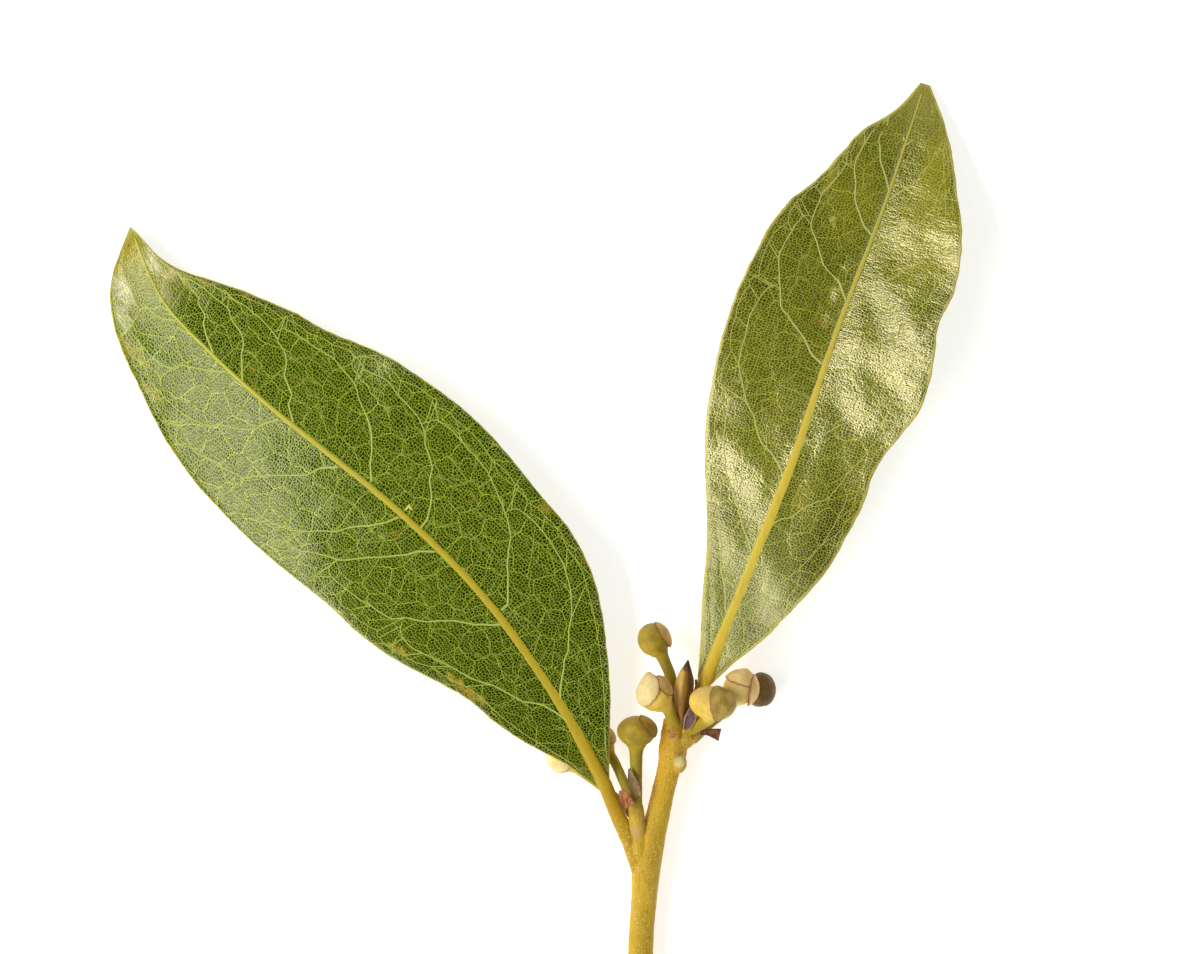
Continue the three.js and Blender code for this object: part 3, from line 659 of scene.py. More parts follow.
def rib_tree():
    """Round ribs along chains of edges, as thick as each point's thickness attribute."""
    ribs = Growth("ribs_along_paths", Sides="Int")
    curve = ribs.node("GeometryNodeMeshToCurve", {}, {"Mesh": ribs.given["Geometry"]})
    thickness = ribs.node("GeometryNodeInputNamedAttribute", {"data_type": "FLOAT"}, {"Name": "thickness"})
    inputs = {"Resolution": ribs.given["Sides"], "Radius": 1.0}
    ring = ribs.node("GeometryNodeCurvePrimitiveCircle", {}, inputs)
    inputs = {"Curve": curve, "Profile Curve": ring, "Scale": thickness, "Fill Caps": True}
    return ribs.ended(ribs.node("GeometryNodeCurveToMesh", {}, inputs))


def speckle_tree():
    """Small flattened bumps scattered over a surface."""
    bumps = Growth("speckles_on_bark", Density="Float", Size="Float", Seed="Int")
    surface, seed = bumps.given["Geometry"], bumps.given["Seed"]
    inputs = {"Mesh": surface, "Density": bumps.given["Density"], "Seed": seed}
    points = bumps.node("GeometryNodeDistributePointsOnFaces", {}, inputs)
    rotation = Value(bumps, points.socket.node.outputs["Rotation"])
    inputs = {"Radius": bumps.given["Size"], "Subdivisions": 1}
    bump = bumps.node("GeometryNodeMeshIcoSphere", {}, inputs)
    inputs = {0: (0.6, 0.6, 0.3), 1: (1.2, 1.5, 0.5), "Seed": seed}
    stretch = bumps.node("FunctionNodeRandomValue", {"data_type": "FLOAT_VECTOR"}, inputs)
    inputs = {"Points": points, "Instance": bump, "Rotation": rotation, "Scale": stretch}
    return bumps.ended(bumps.node("GeometryNodeInstanceOnPoints", {}, inputs))


def grown(host, tree, name, values):
    """What a geometry tree makes of a host object, as an object with a plain mesh."""
    modifier = host.modifiers.new(name, "NODES")
    modifier.node_group = tree
    for item in tree.interface.items_tree:
        if item.name in values:
            modifier[item.identifier] = values[item.name]
    host.update_tag()
    bpy.context.view_layer.update()
    depsgraph = bpy.context.evaluated_depsgraph_get()
    mesh = bpy.data.meshes.new_from_object(host.evaluated_get(depsgraph))
    host.modifiers.remove(modifier)
    return add_object(name, mesh)


def linear(colour):
    """A Value or a linear colour as it is, and a display colour of three 8-bit numbers made linear."""
    if isinstance(colour, Value) or len(colour) == 4:
        return colour
    parts = [c / 255 for c in colour]
    return tuple(c / 12.92 if c <= 0.04045 else ((c + 0.055) / 1.055) ** 2.4 for c in parts) + (1.0,)


class Finish(Nodes):
    """The node tree of one material, written as expressions."""

    def __init__(self, name):
        self.material = bpy.data.materials.new(name)
        self.material.use_nodes = True
        super().__init__(self.material.node_tree)
        self.tree.nodes.clear()

    def attribute(self, name, output="Fac"):
        return self.node("ShaderNodeAttribute", {"attribute_name": name}, output=output)

    def object_mm(self):
        """Object coordinates in millimetres."""
        return self.node("ShaderNodeTexCoord", output="Object").scaled(1 / MM)

    def from_fork(self):
        """Millimetres from the fork."""
        return self.object_mm().moved(tuple(-FORK))

    def layers(self, colour, *coats):
        """A colour under coats, each a tint and how far it covers what is below it."""
        for tint, cover in coats:
            inputs = {0: cover, 6: linear(colour), 7: linear(tint)}
            colour = self.node("ShaderNodeMix", {"data_type": "RGBA"}, inputs, 2)
        return colour

    def done(self, colour, roughness, height=None, **constants):
        """Ends the material in one shader. height is in millimetres."""
        inputs = {"Base Color": colour, "Roughness": roughness}
        if height is not None:
            inputs["Normal"] = self.node("ShaderNodeBump", {}, {"Height": height, "Distance": MM})
        for key, value in constants.items():
            inputs[key.replace("_", " ").title().replace("Ior", "IOR")] = value
        shader = self.node("ShaderNodeBsdfPrincipled", {}, inputs)
        self.node("ShaderNodeOutputMaterial", {}, {"Surface": shader})
        return self.material


# ---- the leaves ----

BLADE_ROWS = 250
BLADE_COLUMNS = 79
SIDE_MARGIN = (0.985, 0.997)  # extra columns close to each margin
SIDES = (("left", -1), ("right", 1))
SIDES_APART = 30.0  # parts the noise of a blade's two sides
RIB_SIDES = 24
RIB_STANDS = 0.12  # how far a midrib stands over the top of its blade
RIB_ARCH = 0.6
SIDE_VEIN_POINTS = 64
SPUR_STARTS = (27, 36, 44, 52, 60)  # the points of a side vein that short veins leave from
SCALLOP_POINTS = 12
RUNG_SPACING = 2.4
FEATHER_SPACING = 2.0
VEINS_TO_MARGIN, VEINS_TO_TIP = 0.97, 0.985  # the shares of a blade's s and t that veins stay within


def lead(s):
    """How far towards the tip a side vein has run when it is a share s of the way to the margin."""
    s = np.abs(s)
    return 0.12 * s + 0.09 * s**4


class Blade:
    """The surface of one leaf blade, by t from base to tip and s from -1 to 1, left to right."""

    def __init__(self, spec):
        self.spec = spec
        middle = along(spec["midrib"], even(200))
        self.length = float(np.linalg.norm(np.diff(middle, axis=0), axis=1).sum())
        self.seed = spec["seed"]

    def by_side(self, key, t, s):
        left, right = (along(self.spec[side][key], t) for side in ("left", "right"))
        return np.where(np.asarray(s) < 0, left, right)

    def half(self, t, s):
        """Half width, with the small waves of the margin."""
        half = self.by_side("half", t, s)
        place = np.stack([t * self.length, np.sign(s) * 9.0, 0 * s], axis=-1)
        waves = 0.1 * rough(place, 1.3, self.seed) + 0.05 * rough(place, 0.5, self.seed + 1)
        return half + waves * np.minimum(half / 3, 1)

    def place(self, t, s):
        """Millimetres along the midrib and across it, and which side."""
        return np.stack([t * self.length, s * self.half(t, s), SIDES_APART * np.sign(s)], axis=-1)

    def vein_share(self, t, s):
        """How far a point is on the way from one side vein to the next."""
        share = np.zeros_like(t)
        for key, side in (("left", s < 0), ("right", s >= 0)):
            starts = np.array([-0.12, 0.0] + self.spec[key]["veins"] + [1.0, 1.12])
            start = t - lead(s)
            i = np.clip(np.searchsorted(starts, start) - 1, 0, len(starts) - 2)
            share = np.where(side, (start - starts[i]) / (starts[i + 1] - starts[i]), share)
        return np.clip(share, 0, 1)

    def relief(self, t, s):
        """How far the surface stands over its smooth shape."""
        place = self.place(t, s)
        edge = np.abs(s)
        flat = np.stack([place[..., 0], place[..., 1], 0 * s], axis=-1)
        swell = 0.07 * np.sin(np.pi * self.vein_share(t, s)) * np.clip((1 - edge) * 3, 0, 1)
        waves = self.spec["waves"] * edge**2 * rough(flat, 11.0, self.seed + 2)
        dents = self.spec["dents"] * rough(flat, 4.6, self.seed + 3) + 0.03 * rough(flat, 1.6, self.seed + 4)
        free = np.clip(np.abs(place[..., 1]) / 2.5, 0, 1)
        lumps = np.zeros_like(free)
        for u, v, radius, height in self.spec["lumps"]:
            away = ((flat[..., 0] - u) ** 2 + (flat[..., 1] - v) ** 2) / radius**2
            lumps += height * np.exp(-away)
        return (swell + waves + dents + lumps) * free

    def surface(self, t, s):
        """The middle of the blade's thickness."""
        t, s = np.broadcast_arrays(np.asarray(t, float), np.asarray(s, float))
        level, _ = square_to(course_of(self.spec["midrib"], t, 0.02))
        point = along(self.spec["midrib"], t) - level * (s * self.half(t, s))[..., None]
        point[..., 2] += self.by_side("lift", t, s) * np.abs(s) ** LIFT_POWER
        shoulder = 1 - np.exp(-np.abs(s) * self.half(t, s) / SHOULDER)
        point[..., 2] += self.by_side("fold", t, s) * shoulder + self.relief(t, s)
        return point

    def thickness(self, s):
        return BLADE_THICKNESS * np.sqrt(np.clip(1 - np.abs(s) ** 30, 0, 1))


def blade_piece(name, blade, materials):
    """The blade as a closed skin: over the top from left to right, and back underneath."""
    t = even(BLADE_ROWS)[:, None]
    s = np.linspace(-0.965, 0.965, BLADE_COLUMNS)
    s = np.concatenate([[-1.0], -np.array(SIDE_MARGIN[::-1]), s, SIDE_MARGIN, [1.0]])
    around = np.concatenate([s, s[-2:0:-1]])
    over = np.concatenate([np.full(len(s), 0.5), np.full(len(s) - 2, -0.5)])
    t, around, over = np.broadcast_arrays(t, around[None, :], over[None, :])
    points = blade.surface(t, around)
    points[..., 2] += over * blade.thickness(around)
    edge = blade.half(t, around) * (1 - np.abs(around))
    attributes = {"place": blade.place(t, around), "margin": np.minimum(edge, (1 - t) * blade.length)}
    count = around.shape[1]
    column = np.tile(np.arange(count), BLADE_ROWS - 1)
    face_slots = np.concatenate([column >= len(s) - 1, np.zeros(2 * count)])
    return skin(name, points, materials, attributes, face_slots)


def midrib_piece(name, spec, finish):
    """The petiole and the midrib as one tapered rib, flatter on top where it lies in the blade."""
    stem_t = even(40)[:-1]
    rib_t = np.linspace(0, 0.985, 200)
    centres = np.concatenate([along(spec["petiole"], stem_t), along(spec["midrib"], rib_t)])
    courses = unit(np.gradient(centres, axis=0))
    radii = np.concatenate([along(spec["petiole_radius"], stem_t), along(spec["midrib_radius"], rib_t)])
    in_blade = np.concatenate([np.zeros(len(stem_t)), np.clip(rib_t / 0.1, 0, 1)])
    top = 1 + ((RIB_STANDS + BLADE_THICKNESS / 2) / radii - 1) * in_blade
    rings = rings_round(centres, courses, radii, RIB_SIDES, top, RIB_ARCH)
    out = unit(rings - centres[:, None])
    grain = 0.03 * rough(rings * (1, 0.3, 1), 0.5, 5) + 0.03 * rough(rings, 1.4, 6)
    rings = rings + out * (grain * np.minimum(radii / 0.6, 1)[:, None])[..., None]
    return skin(name, rings, [finish], {"run": np.concatenate([stem_t - 1, rib_t])[:, None]})


def wander(count, seed, size=1.0):
    """A smooth unsteady line, for veins that don't run straight."""
    steps = np.linspace(0, size, count)
    return rough(np.stack([steps, 0 * steps, 0 * steps], axis=-1), 1.0, seed)


def crooked(count, bends, random):
    """A line of straight stretches between random bends."""
    knots = even(bends + 2)
    return np.interp(even(count), knots, random.uniform(-1, 1, bends + 2))


def spurs(t, s, gap, random):
    """Short veins from the bend of a side vein to near the margin: each its t, its s and where it ends."""
    q = even(10)
    for at in SPUR_STARTS:
        if t[at] > 0.93:
            continue
        out = random.uniform(0.86, 0.93)
        spur_t = t[at] + (0.012 + random.uniform(-0.2, 0.3) * gap * 0.3) * q
        yield spur_t, s[at] + (out - s[at]) * q + 0.006 * crooked(len(q), 2, random), out


def margin_chain(ends):
    """A thin vein that joins the ends of the spurs in scallops."""
    ends = np.array(sorted(ends))
    p = even(SCALLOP_POINTS * len(ends))
    knots = even(len(ends))
    scallops = 0.02 * np.abs(np.sin(np.pi * p * (len(ends) - 1)))
    return np.interp(p, knots, ends[:, 0]), np.interp(p, knots, ends[:, 1]) + scallops, np.full(len(p), 0.05)


def side_veins(blade):
    """The side veins of a blade: each runs out, then bends towards the tip and meets the next one.
    Each vein is its t, its s and its thickness."""
    random = np.random.default_rng(blade.seed)
    veins = []
    p = even(SIDE_VEIN_POINTS)
    steady = np.minimum(1, 6 * (1 - p))
    reach = along([0.03, 0.25, 0.46, 0.64, 0.76, 0.8, 0.77, 0.68], p)
    extra = along([0, 0, 0, 0.03, 0.18, 0.46, 0.76, 1.0], p)
    thick = along([0.16, 0.13, 0.11, 0.095, 0.085, 0.08, 0.07, 0.06], p)
    for key, sign in SIDES:
        starts = blade.spec[key]["veins"]
        main, ends = [], [(0.03, 0.8)]
        for start, following in zip(starts, [*starts[1:], min(starts[-1] + 0.06, 0.97)]):
            gap = following - start
            t = start + lead(reach) + extra * gap + 0.007 * crooked(len(p), 13, random) * steady
            s = reach + 0.02 * crooked(len(p), 11, random) * steady
            keep = t < 0.91
            main.append((t[keep], s[keep], thick[keep]))
            for spur_t, spur_s, out in spurs(t, s, gap, random):
                main.append((spur_t, spur_s, np.linspace(0.07, 0.05, len(spur_t))))
                ends.append((spur_t[-1], out))
        veins += on_side([*main, margin_chain(ends)], blade, key, sign)
    return veins


def on_side(veins, blade, key, sign):
    """Veins laid on one side of a blade, as bold as the veins of that side are."""
    return [(t, sign * s, thick * blade.spec[key]["bold"]) for t, s, thick in veins]


def rungs(blade, k, low, high, width, random):
    """Crooked veins that slope back from one side vein to the next, each with a twig of its own."""
    count = max(int(width / RUNG_SPACING), 2)
    size = (high - low) * blade.length
    bends = max(int(size / 2), 2)
    p, q = even(max(int(size / 0.35), 8)), even(12)
    for rung in range(count):
        s0 = 0.3 + 0.6 * (rung + random.uniform(0.2, 0.8)) / count
        s1 = s0 - random.uniform(0.2, 0.34)
        zigzag = 0.045 * crooked(len(p), bends, random) + 0.02 * crooked(len(p), bends * 3, random)
        s = s0 + (s1 - s0) * p + zigzag
        t = low + lead(s) + (high - low) * p
        yield t, s, np.full(len(p), 0.052)
        at = int(random.uniform(0.25, 0.75) * (len(p) - 1))
        twig_s = s[at] + random.uniform(0.12, 0.2) * q + 0.03 * wander(len(q), 31 * rung + k, 3)
        twig_t = t[at] + random.uniform(0.015, 0.035) * q + 0.004 * wander(len(q), 17 * rung + k, 3)
        yield twig_t, twig_s, np.linspace(0.055, 0.04, len(q))


def feathers(blade, sign, random):
    """Short veins that leave the midrib between the side veins."""
    q = even(16)
    for u in np.arange(3.0, blade.length * 0.93, FEATHER_SPACING):
        reach = random.uniform(0.2, 0.42)
        s = 0.03 + reach * q + 0.01 * wander(len(q), int(9 * u) + sign, 5)
        t = (u + random.uniform(0, 1)) / blade.length + 0.16 * s * reach
        yield t + 0.008 * q * wander(len(q), int(7 * u) + sign, 4), s, np.linspace(0.06, 0.035, len(q))


def fine_veins(blade):
    """The finer veins between the side veins and beside the midrib."""
    random = np.random.default_rng(blade.seed)
    veins = []
    for key, sign in SIDES:
        starts = [0.02] + blade.spec[key]["veins"] + [0.95]
        fine = []
        for k, (low, high) in enumerate(zip(starts, starts[1:])):
            width = float(blade.by_side("half", np.array((low + high) / 2 + 0.1), np.array(sign)))
            fine += rungs(blade, k, low, high, width, random)
        fine += feathers(blade, sign, random)
        veins += on_side(fine, blade, key, sign)
    return veins


def vein_piece(name, blade, veins, side, sink, sides, finish):
    """Ribs along the veins. side is 1 on the top and -1 underneath, and sink is the share of a vein's
    radius that its middle lies below the surface."""
    points, edges, thickness = [], [], []
    for t, s, thick in veins:
        inside = (np.abs(s) < VEINS_TO_MARGIN) & (t > 0) & (t < VEINS_TO_TIP)
        t, s, thick = t[inside], s[inside], thick[inside]
        if len(t) < 3:
            continue
        course = blade.surface(t, s)
        course[:, 2] += side * (blade.thickness(s) / 2 - sink * thick)
        edges += [(len(points) + i, len(points) + i + 1) for i in range(len(t) - 1)]
        points += course.tolist()
        thickness += thick.tolist()
    mesh = bpy.data.meshes.new(name)
    mesh.from_pydata(((np.array(points) + FORK) * MM).tolist(), edges, [])
    layer = mesh.attributes.new("thickness", "FLOAT", "POINT")
    layer.data.foreach_set("value", np.array(thickness) * MM)
    paths = add_object(name + "_paths", mesh)
    piece = grown(paths, RIB_TREE, name, {"Sides": sides, "Finish": finish})
    bpy.data.objects.remove(paths)
    return piece


# ---- the stems ----

COLLAR_Y, COLLAR_WIDTH, COLLAR_HEIGHT = 14.6, 0.4, 0.1  # the ring of small scales round the upper node
CUT_RINGS = ((0.2, 0.1), (0.45, 0.06), (0.7, 0.02), (0.88, 0.0), (0.965, 0.03))  # share of reach, depth


def twig_piece(name, finish):
    rings = stem_rings(TWIG_PATH, TWIG_RADIUS, 150, 56)
    grain = 0.035 * rough(rings * (1, 0.25, 1), 0.45, 1) + 0.05 * rough(rings, 1.6, 2)
    y = rings[..., 1]
    collar = np.exp(-((y - COLLAR_Y) / COLLAR_WIDTH) ** 2)
    grain += COLLAR_HEIGHT * collar * (1 + 0.8 * rough(rings, 0.6, 3))
    rings = knobbly(rings, grain)
    middle = rings[0].mean(axis=0)
    cut = [middle + (rings[0] - middle) * share for share, _ in CUT_RINGS]
    for ring, (_, depth) in zip(cut, CUT_RINGS):
        ring[:, 1] += depth + 0.02 * rough(ring, 0.3, 4)
    radius = np.linalg.norm(rings - rings.mean(axis=1, keepdims=True), axis=-1)
    cut_radius = [np.linalg.norm(ring - middle, axis=-1) for ring in cut]
    rings = np.concatenate([cut, rings])
    attributes = {
        "cut": (np.arange(len(rings)) < len(cut))[:, None],
        "radial": np.concatenate([cut_radius, radius]),
    }
    axis = skin(name, rings, [finish], attributes)
    return join([axis, *(swelling(*named, finish) for named in SWELLINGS.items())])


def swelling(name, shape, finish):
    """A smooth knob on the twig."""
    centre, halves, turn = shape
    t = np.linspace(0.02, 0.98, 26)[:, None] * np.pi
    around = turns(36, 0)
    x = -halves[0] * np.cos(t) * np.ones(36)
    y = halves[1] * np.sin(t) * np.cos(around)
    z = halves[2] * np.sin(t) * np.sin(around)
    rings = np.stack([x * np.cos(turn) - y * np.sin(turn), x * np.sin(turn) + y * np.cos(turn), z], axis=-1)
    rings = rings + centre
    rings = knobbly(rings, 0.03 * rough(rings, 0.5, 9) + 0.04 * rough(rings, 1.3, 10))
    return skin(name, rings, [finish], {"cut": 0.0, "radial": 1.0})


def shoot_piece(name, finish):
    rings = stem_rings(SHOOT_PATH, SHOOT_RADIUS, 60, 40)
    rings = knobbly(rings, 0.03 * rough(rings * (1, 0.3, 1), 0.45, 5) + 0.06 * rough(rings, 1.1, 6))
    return skin(name, rings, [finish], {"cut": 0.0, "radial": 1.0})


# ---- the flower buds ----


def head_reach(bud, outwards):
    """How far a head's surface is from its centre in each direction, with its own small lumps."""
    cosine = np.clip(outwards @ unit(bud.axis), -1, 1)
    sine = np.sqrt(1 - cosine**2)
    reach = 1 / np.hypot(cosine / bud.along, sine / bud.across)
    for facing, width, height in bud.lumps:
        turn = np.arccos(np.clip(outwards @ unit(facing), -1, 1))
        reach = reach + height * np.exp(-((turn / width) ** 2))
    return reach


def bud_piece(name, bud, finish):
    """A head with its stalk: up the stalk, then over the head to its tip."""
    sides = 44
    centre, axis = np.array(bud.centre), unit(bud.axis)
    side = square_to(axis)[0] * np.sin(STALK_ANGLE) + axis * np.cos(STALK_ANGLE)
    neck_reach = float(head_reach(bud._replace(lumps=[]), side[None])[0])
    neck = centre + axis * neck_reach * np.cos(STALK_ANGLE)
    stalk_path = [*bud.stalk, tuple(neck - 0.9 * axis), tuple(neck)]
    last = bud.stalk_radius[-1]
    stalk_radius = [*bud.stalk_radius, last * 1.15, neck_reach * np.sin(STALK_ANGLE)]
    stalk = stem_rings(stalk_path, stalk_radius, 34, sides)
    angle = STALK_ANGLE * (1 - even(40)[1:-1])
    outwards = leaning(axis, spokes(axis, sides, 0.5), angle[:, None])
    head = centre + outwards * head_reach(bud, outwards)[..., None]
    rings = np.concatenate([stalk, head])
    seed = len(name)
    rings = knobbly(rings, 0.03 * rough(rings, 0.8, seed) + 0.014 * rough(rings, 0.28, seed + 1))
    green = np.concatenate([np.clip(np.linspace(1.35, 0, len(stalk)), 0, 1), np.zeros(len(head))])
    crown = np.concatenate([np.zeros(len(stalk)), even(len(head))])
    return skin(name, rings, [finish], {"green": green[:, None], "crown": crown[:, None]})


def bract_piece(name, bud, facing, reach, lift, finish):
    """A bract that wraps part of a head: an outer and an inner wall, with an uneven rim."""
    centre, middle = np.array(bud.centre), unit(facing)
    spoke = spokes(middle, 72, 0)
    seed = len(name) + int(10 * reach)
    rim = reach * (1 + 0.07 * rough(spoke, 0.7, seed) + 0.035 * rough(spoke, 0.22, seed + 1))
    share = np.linspace(0.03, 1, 30)[:, None]
    angle = share * rim[None, :]
    outwards = leaning(middle, spoke, angle)
    base = head_reach(bud, outwards) + lift
    grain = 0.03 * rough(outwards * 2, 0.7, seed + 2) + 0.012 * rough(outwards * 2, 0.22, seed + 3)
    thick = BRACT_THICKNESS * (1 - 0.45 * share**6)
    outer = centre + outwards * (base + BRACT_GAP + thick + 0.05 * share**8 + grain)[..., None]
    inner = centre + outwards * (base + BRACT_GAP - 0.02)[..., None]
    to_rim = (rim[None, :] - angle) * base
    rings = np.concatenate([outer, inner[::-1]])
    return skin(name, rings, [finish], {"rim": np.concatenate([to_rim, to_rim[::-1]])})


def leaf_bud_piece(name, finish):
    """The pointed leaf bud, with the ridges of its folded scales."""
    rings = stem_rings(LEAF_BUD_PATH, LEAF_BUD_RADIUS, 70, 44)
    turn = turns(44)
    fold = 0.05 * np.maximum(0, np.cos(turn - 1.1)) ** 6 - 0.05 * np.maximum(0, np.cos(turn - 2.2)) ** 30
    grain = fold[None, :] + 0.03 * rough(rings * (1, 0.3, 1), 0.35, 4) + 0.03 * rough(rings, 1.0, 5)
    run = even(71)[:, None]
    grain = grain * np.minimum(along(LEAF_BUD_RADIUS, run), 0.5) * 2
    return skin(name, knobbly(rings, grain), [finish], {"run": run, "round": turn[None, :]})


def scale_piece(name, scale, finish):
    """A thin scale along its path, cupped so that its hollow side faces up."""
    rows, columns, thick = 30, 17, 0.18
    t = even(rows)
    centres = along(scale.path, t)
    level, up = square_to(course_of(scale.path, t, 0.05))
    turn, back = scale.roll, -up
    level, back = level * np.cos(turn) + back * np.sin(turn), back * np.cos(turn) - level * np.sin(turn)
    level, back = level[:, None], back[:, None]
    across = np.linspace(-1, 1, columns)[None, :]
    rise = scale.cup * np.sin(np.pi * np.minimum(0.2 + t, 0.9))
    edge = thick / 2 * np.sqrt(np.clip(1 - np.abs(across) ** 6, 0.05, 1))
    flat = centres[:, None] + level * (along(scale.half, t)[:, None] * across)[..., None]
    flat = flat + back * (rise[:, None] * (1 - across**2))[..., None]
    grain = 0.04 * rough(flat * (2, 1, 1), 0.5, len(name)) + 0.02 * rough(flat, 0.25, 3)
    outer = flat + back * (edge + grain)[..., None]
    inner = flat - back * (edge - grain)[..., None]
    rings = np.concatenate([outer, inner[:, ::-1]], axis=1)
    side = np.concatenate([across, across[:, ::-1]], axis=1)
    return skin(name, rings, [finish], {"run": t[:, None], "across": side})


# ---- finishes ----


def spot(place, centre, radius, tint, strength=1.0):
    """A coat of tint in a soft-edged spot round a centre."""
    return tint, (1 - place.distance(centre).rise(radius * 0.3, radius)) * strength


def blemish(place, mark, cover=1.0):
    """A coat of tint in a patch of a blade: (u, v, length, width, tint, strength), times cover."""
    u, v, length, width, tint, strength = mark
    from_mark = place.moved((-u, -v, 0.0)).stretched(1 / length, 1 / width, 0.0)
    return spot(from_mark, (0.0, 0.0, 0.0), 1.0, tint, strength * cover)


def leaf_top(name, look):
    """The glossy upper skin: dark cells that bulge between the pale lines of a fine net."""
    finish = Finish(name)
    place = finish.attribute("place", "Vector")
    margin = finish.attribute("margin")
    run, across = place.part("X"), place.part("Y")
    ragged = place.warped(0.6, 1.1)
    bent = place.warped(2.2, 0.7)
    fine = bent.stretched(1.1, 0.88, 1.0).cells(0.37)
    middle = bent.warped(0.7, 0.4).cells(1.0)
    coarse = bent.warped(1.0, 0.6).cells(3.2)
    fine_vein = 1 - fine.rise(0.0, 0.038)
    coarse_vein = 1 - coarse.rise(0.01, 0.06)
    tone = place.cloud(7.0, 3.0).rise(0.35, 0.68)
    speck = place.cloud(0.7).rise(0.35, 0.7)
    yellow = place.cloud(2.4, 3.0)
    base = 1 - run.rise(look["base_reach"] * 0.3, look["base_reach"])
    beside_rib = 1 - (across + 0.35).math("ABSOLUTE").rise(0.2, 0.6)
    fringe = (1 - margin.rise(0.3, 1.3)) * place.cloud(3.0).rise(0.35, 0.6)
    ends = run.rise(look["length"] * 0.86, look["length"]) + (1 - run.rise(0.0, 6.0)) * 0.6
    rim = 1 - (margin - yellow * look["rim_reach"]).rise(0.0, 0.16)
    rust = (1 - margin.rise(0.2, 1.1)) * place.cloud(1.7, 3.0).rise(0.56, 0.66)
    crumbs = 0.45 + place.cloud(0.4, 3.0).rise(0.4, 0.56) * 0.55
    broken = (0.3 + fine.rise(0.0, 0.1) * 0.7) * crumbs
    colour = finish.layers(
        look["cell"],
        (look["cell_light"], tone * 0.4 + speck * 0.2),
        (look["cell_base"], base),
        # Some shades are painted light: shade on the right leaf's folded left margin, and sheen near its
        # right margin.
        *(blemish(ragged, mark) for mark in look["shades"]),
        (look["net"], fine_vein * (0.7 + speck * 0.3)),
        (look["vein"], (1 - middle.rise(0.0, 0.04)) * 0.22),
        (look["vein"], coarse_vein * 0.8),
        (HALO, beside_rib * (0.2 + fine_vein * 0.6) * look["halo"]),
        (HALO, fringe * fine_vein * 0.6),
        (look["cell_base"], base * 0.15),
        (look["ends"], ends * 0.6),
        (look["rim"], rim * (0.3 + yellow * 0.8)),
        ((160, 136, 20), rust * 0.5),
        # Some patches are painted sheen: the whitish and beige ones near the left leaf's tip.
        *(blemish(ragged, mark, broken) for mark in look["patches"]),
        *(blemish(place, mark) for mark in look["specks"]),
    )
    ripples = place.stretched(1.5, 0.6, 1.0).cloud(0.55)
    dome = fine.rise(0.0, 0.15) + coarse.rise(0.0, 0.3)
    height = dome * look["dome"] + ripples * look["ripple"] * (1 - base * 0.5)
    roughness = look["roughness"] + place.cloud(3.5, 3.0) * 0.08 + rim * 0.2 + fine_vein * 0.18
    roughness = roughness + base * look["base_roughness"]
    return finish.done(colour, roughness, height, ior=look["ior"], specular_ior_level=look["gloss"],
                       specular_tint=look["sheen"])


def leaf_underside(name):
    """The matt, paler skin underneath, where the net of veins stands out more."""
    finish = Finish(name)
    place = finish.attribute("place", "Vector")
    bent = place.warped(2.6, 1.3)
    fine_vein = 1 - bent.cells(0.46).rise(0.0, 0.12)
    coarse_vein = 1 - bent.cells(1.9).rise(0.02, 0.14)
    tone = place.cloud(6.0, 3.0)
    colour = finish.layers(
        (128, 134, 68),
        ((146, 148, 84), tone),
        ((168, 168, 104), fine_vein * 0.6),
        ((184, 180, 112), coarse_vein * 0.7),
        ((190, 172, 84), 1 - finish.attribute("margin").rise(0.1, 0.4)),
    )
    height = fine_vein * 0.04 + coarse_vein * 0.05 + tone * 0.05
    return finish.done(colour, 0.5 + tone * 0.14, height)


def pale_dots(place):
    """Where the small pale dots of young bark and petioles are."""
    return 1 - place.warped(0.8, 0.5).dots(0.42).rise(0.07, 0.16)


def rib_finish(name, petiole, near, far):
    """Petiole and midrib, whose colour changes along it, with darker streaks."""
    finish = Finish(name)
    run = finish.attribute("run")
    place = finish.from_fork()
    streaks = place.stretched(1.6, 0.5, 1.6).cloud(0.9, 3.0)
    colour = finish.layers(
        petiole,
        (near, run.rise(-0.1, 0.15)),
        (far, run.rise(0.25, 0.85)),
        ((170, 120, 24), streaks.rise(0.5, 0.75) * (0.3 - run * 0.3)),
        (DOT, pale_dots(place) * (1 - run.rise(-0.7, -0.1)) * 0.6),
    )
    height = streaks * 0.04 + place.cloud(0.3) * 0.02
    return finish.done(colour, 0.45 + streaks * 0.15, height, specular_ior_level=0.3)


def two_tone(name, light, dark, size=1.6, roughness=0.45, gloss=0.25):
    """A plain finish for veins and speckles."""
    finish = Finish(name)
    tone = finish.object_mm().cloud(size)
    colour = finish.layers(light, (dark, tone))
    return finish.done(colour, roughness + tone * 0.1, specular_ior_level=gloss)


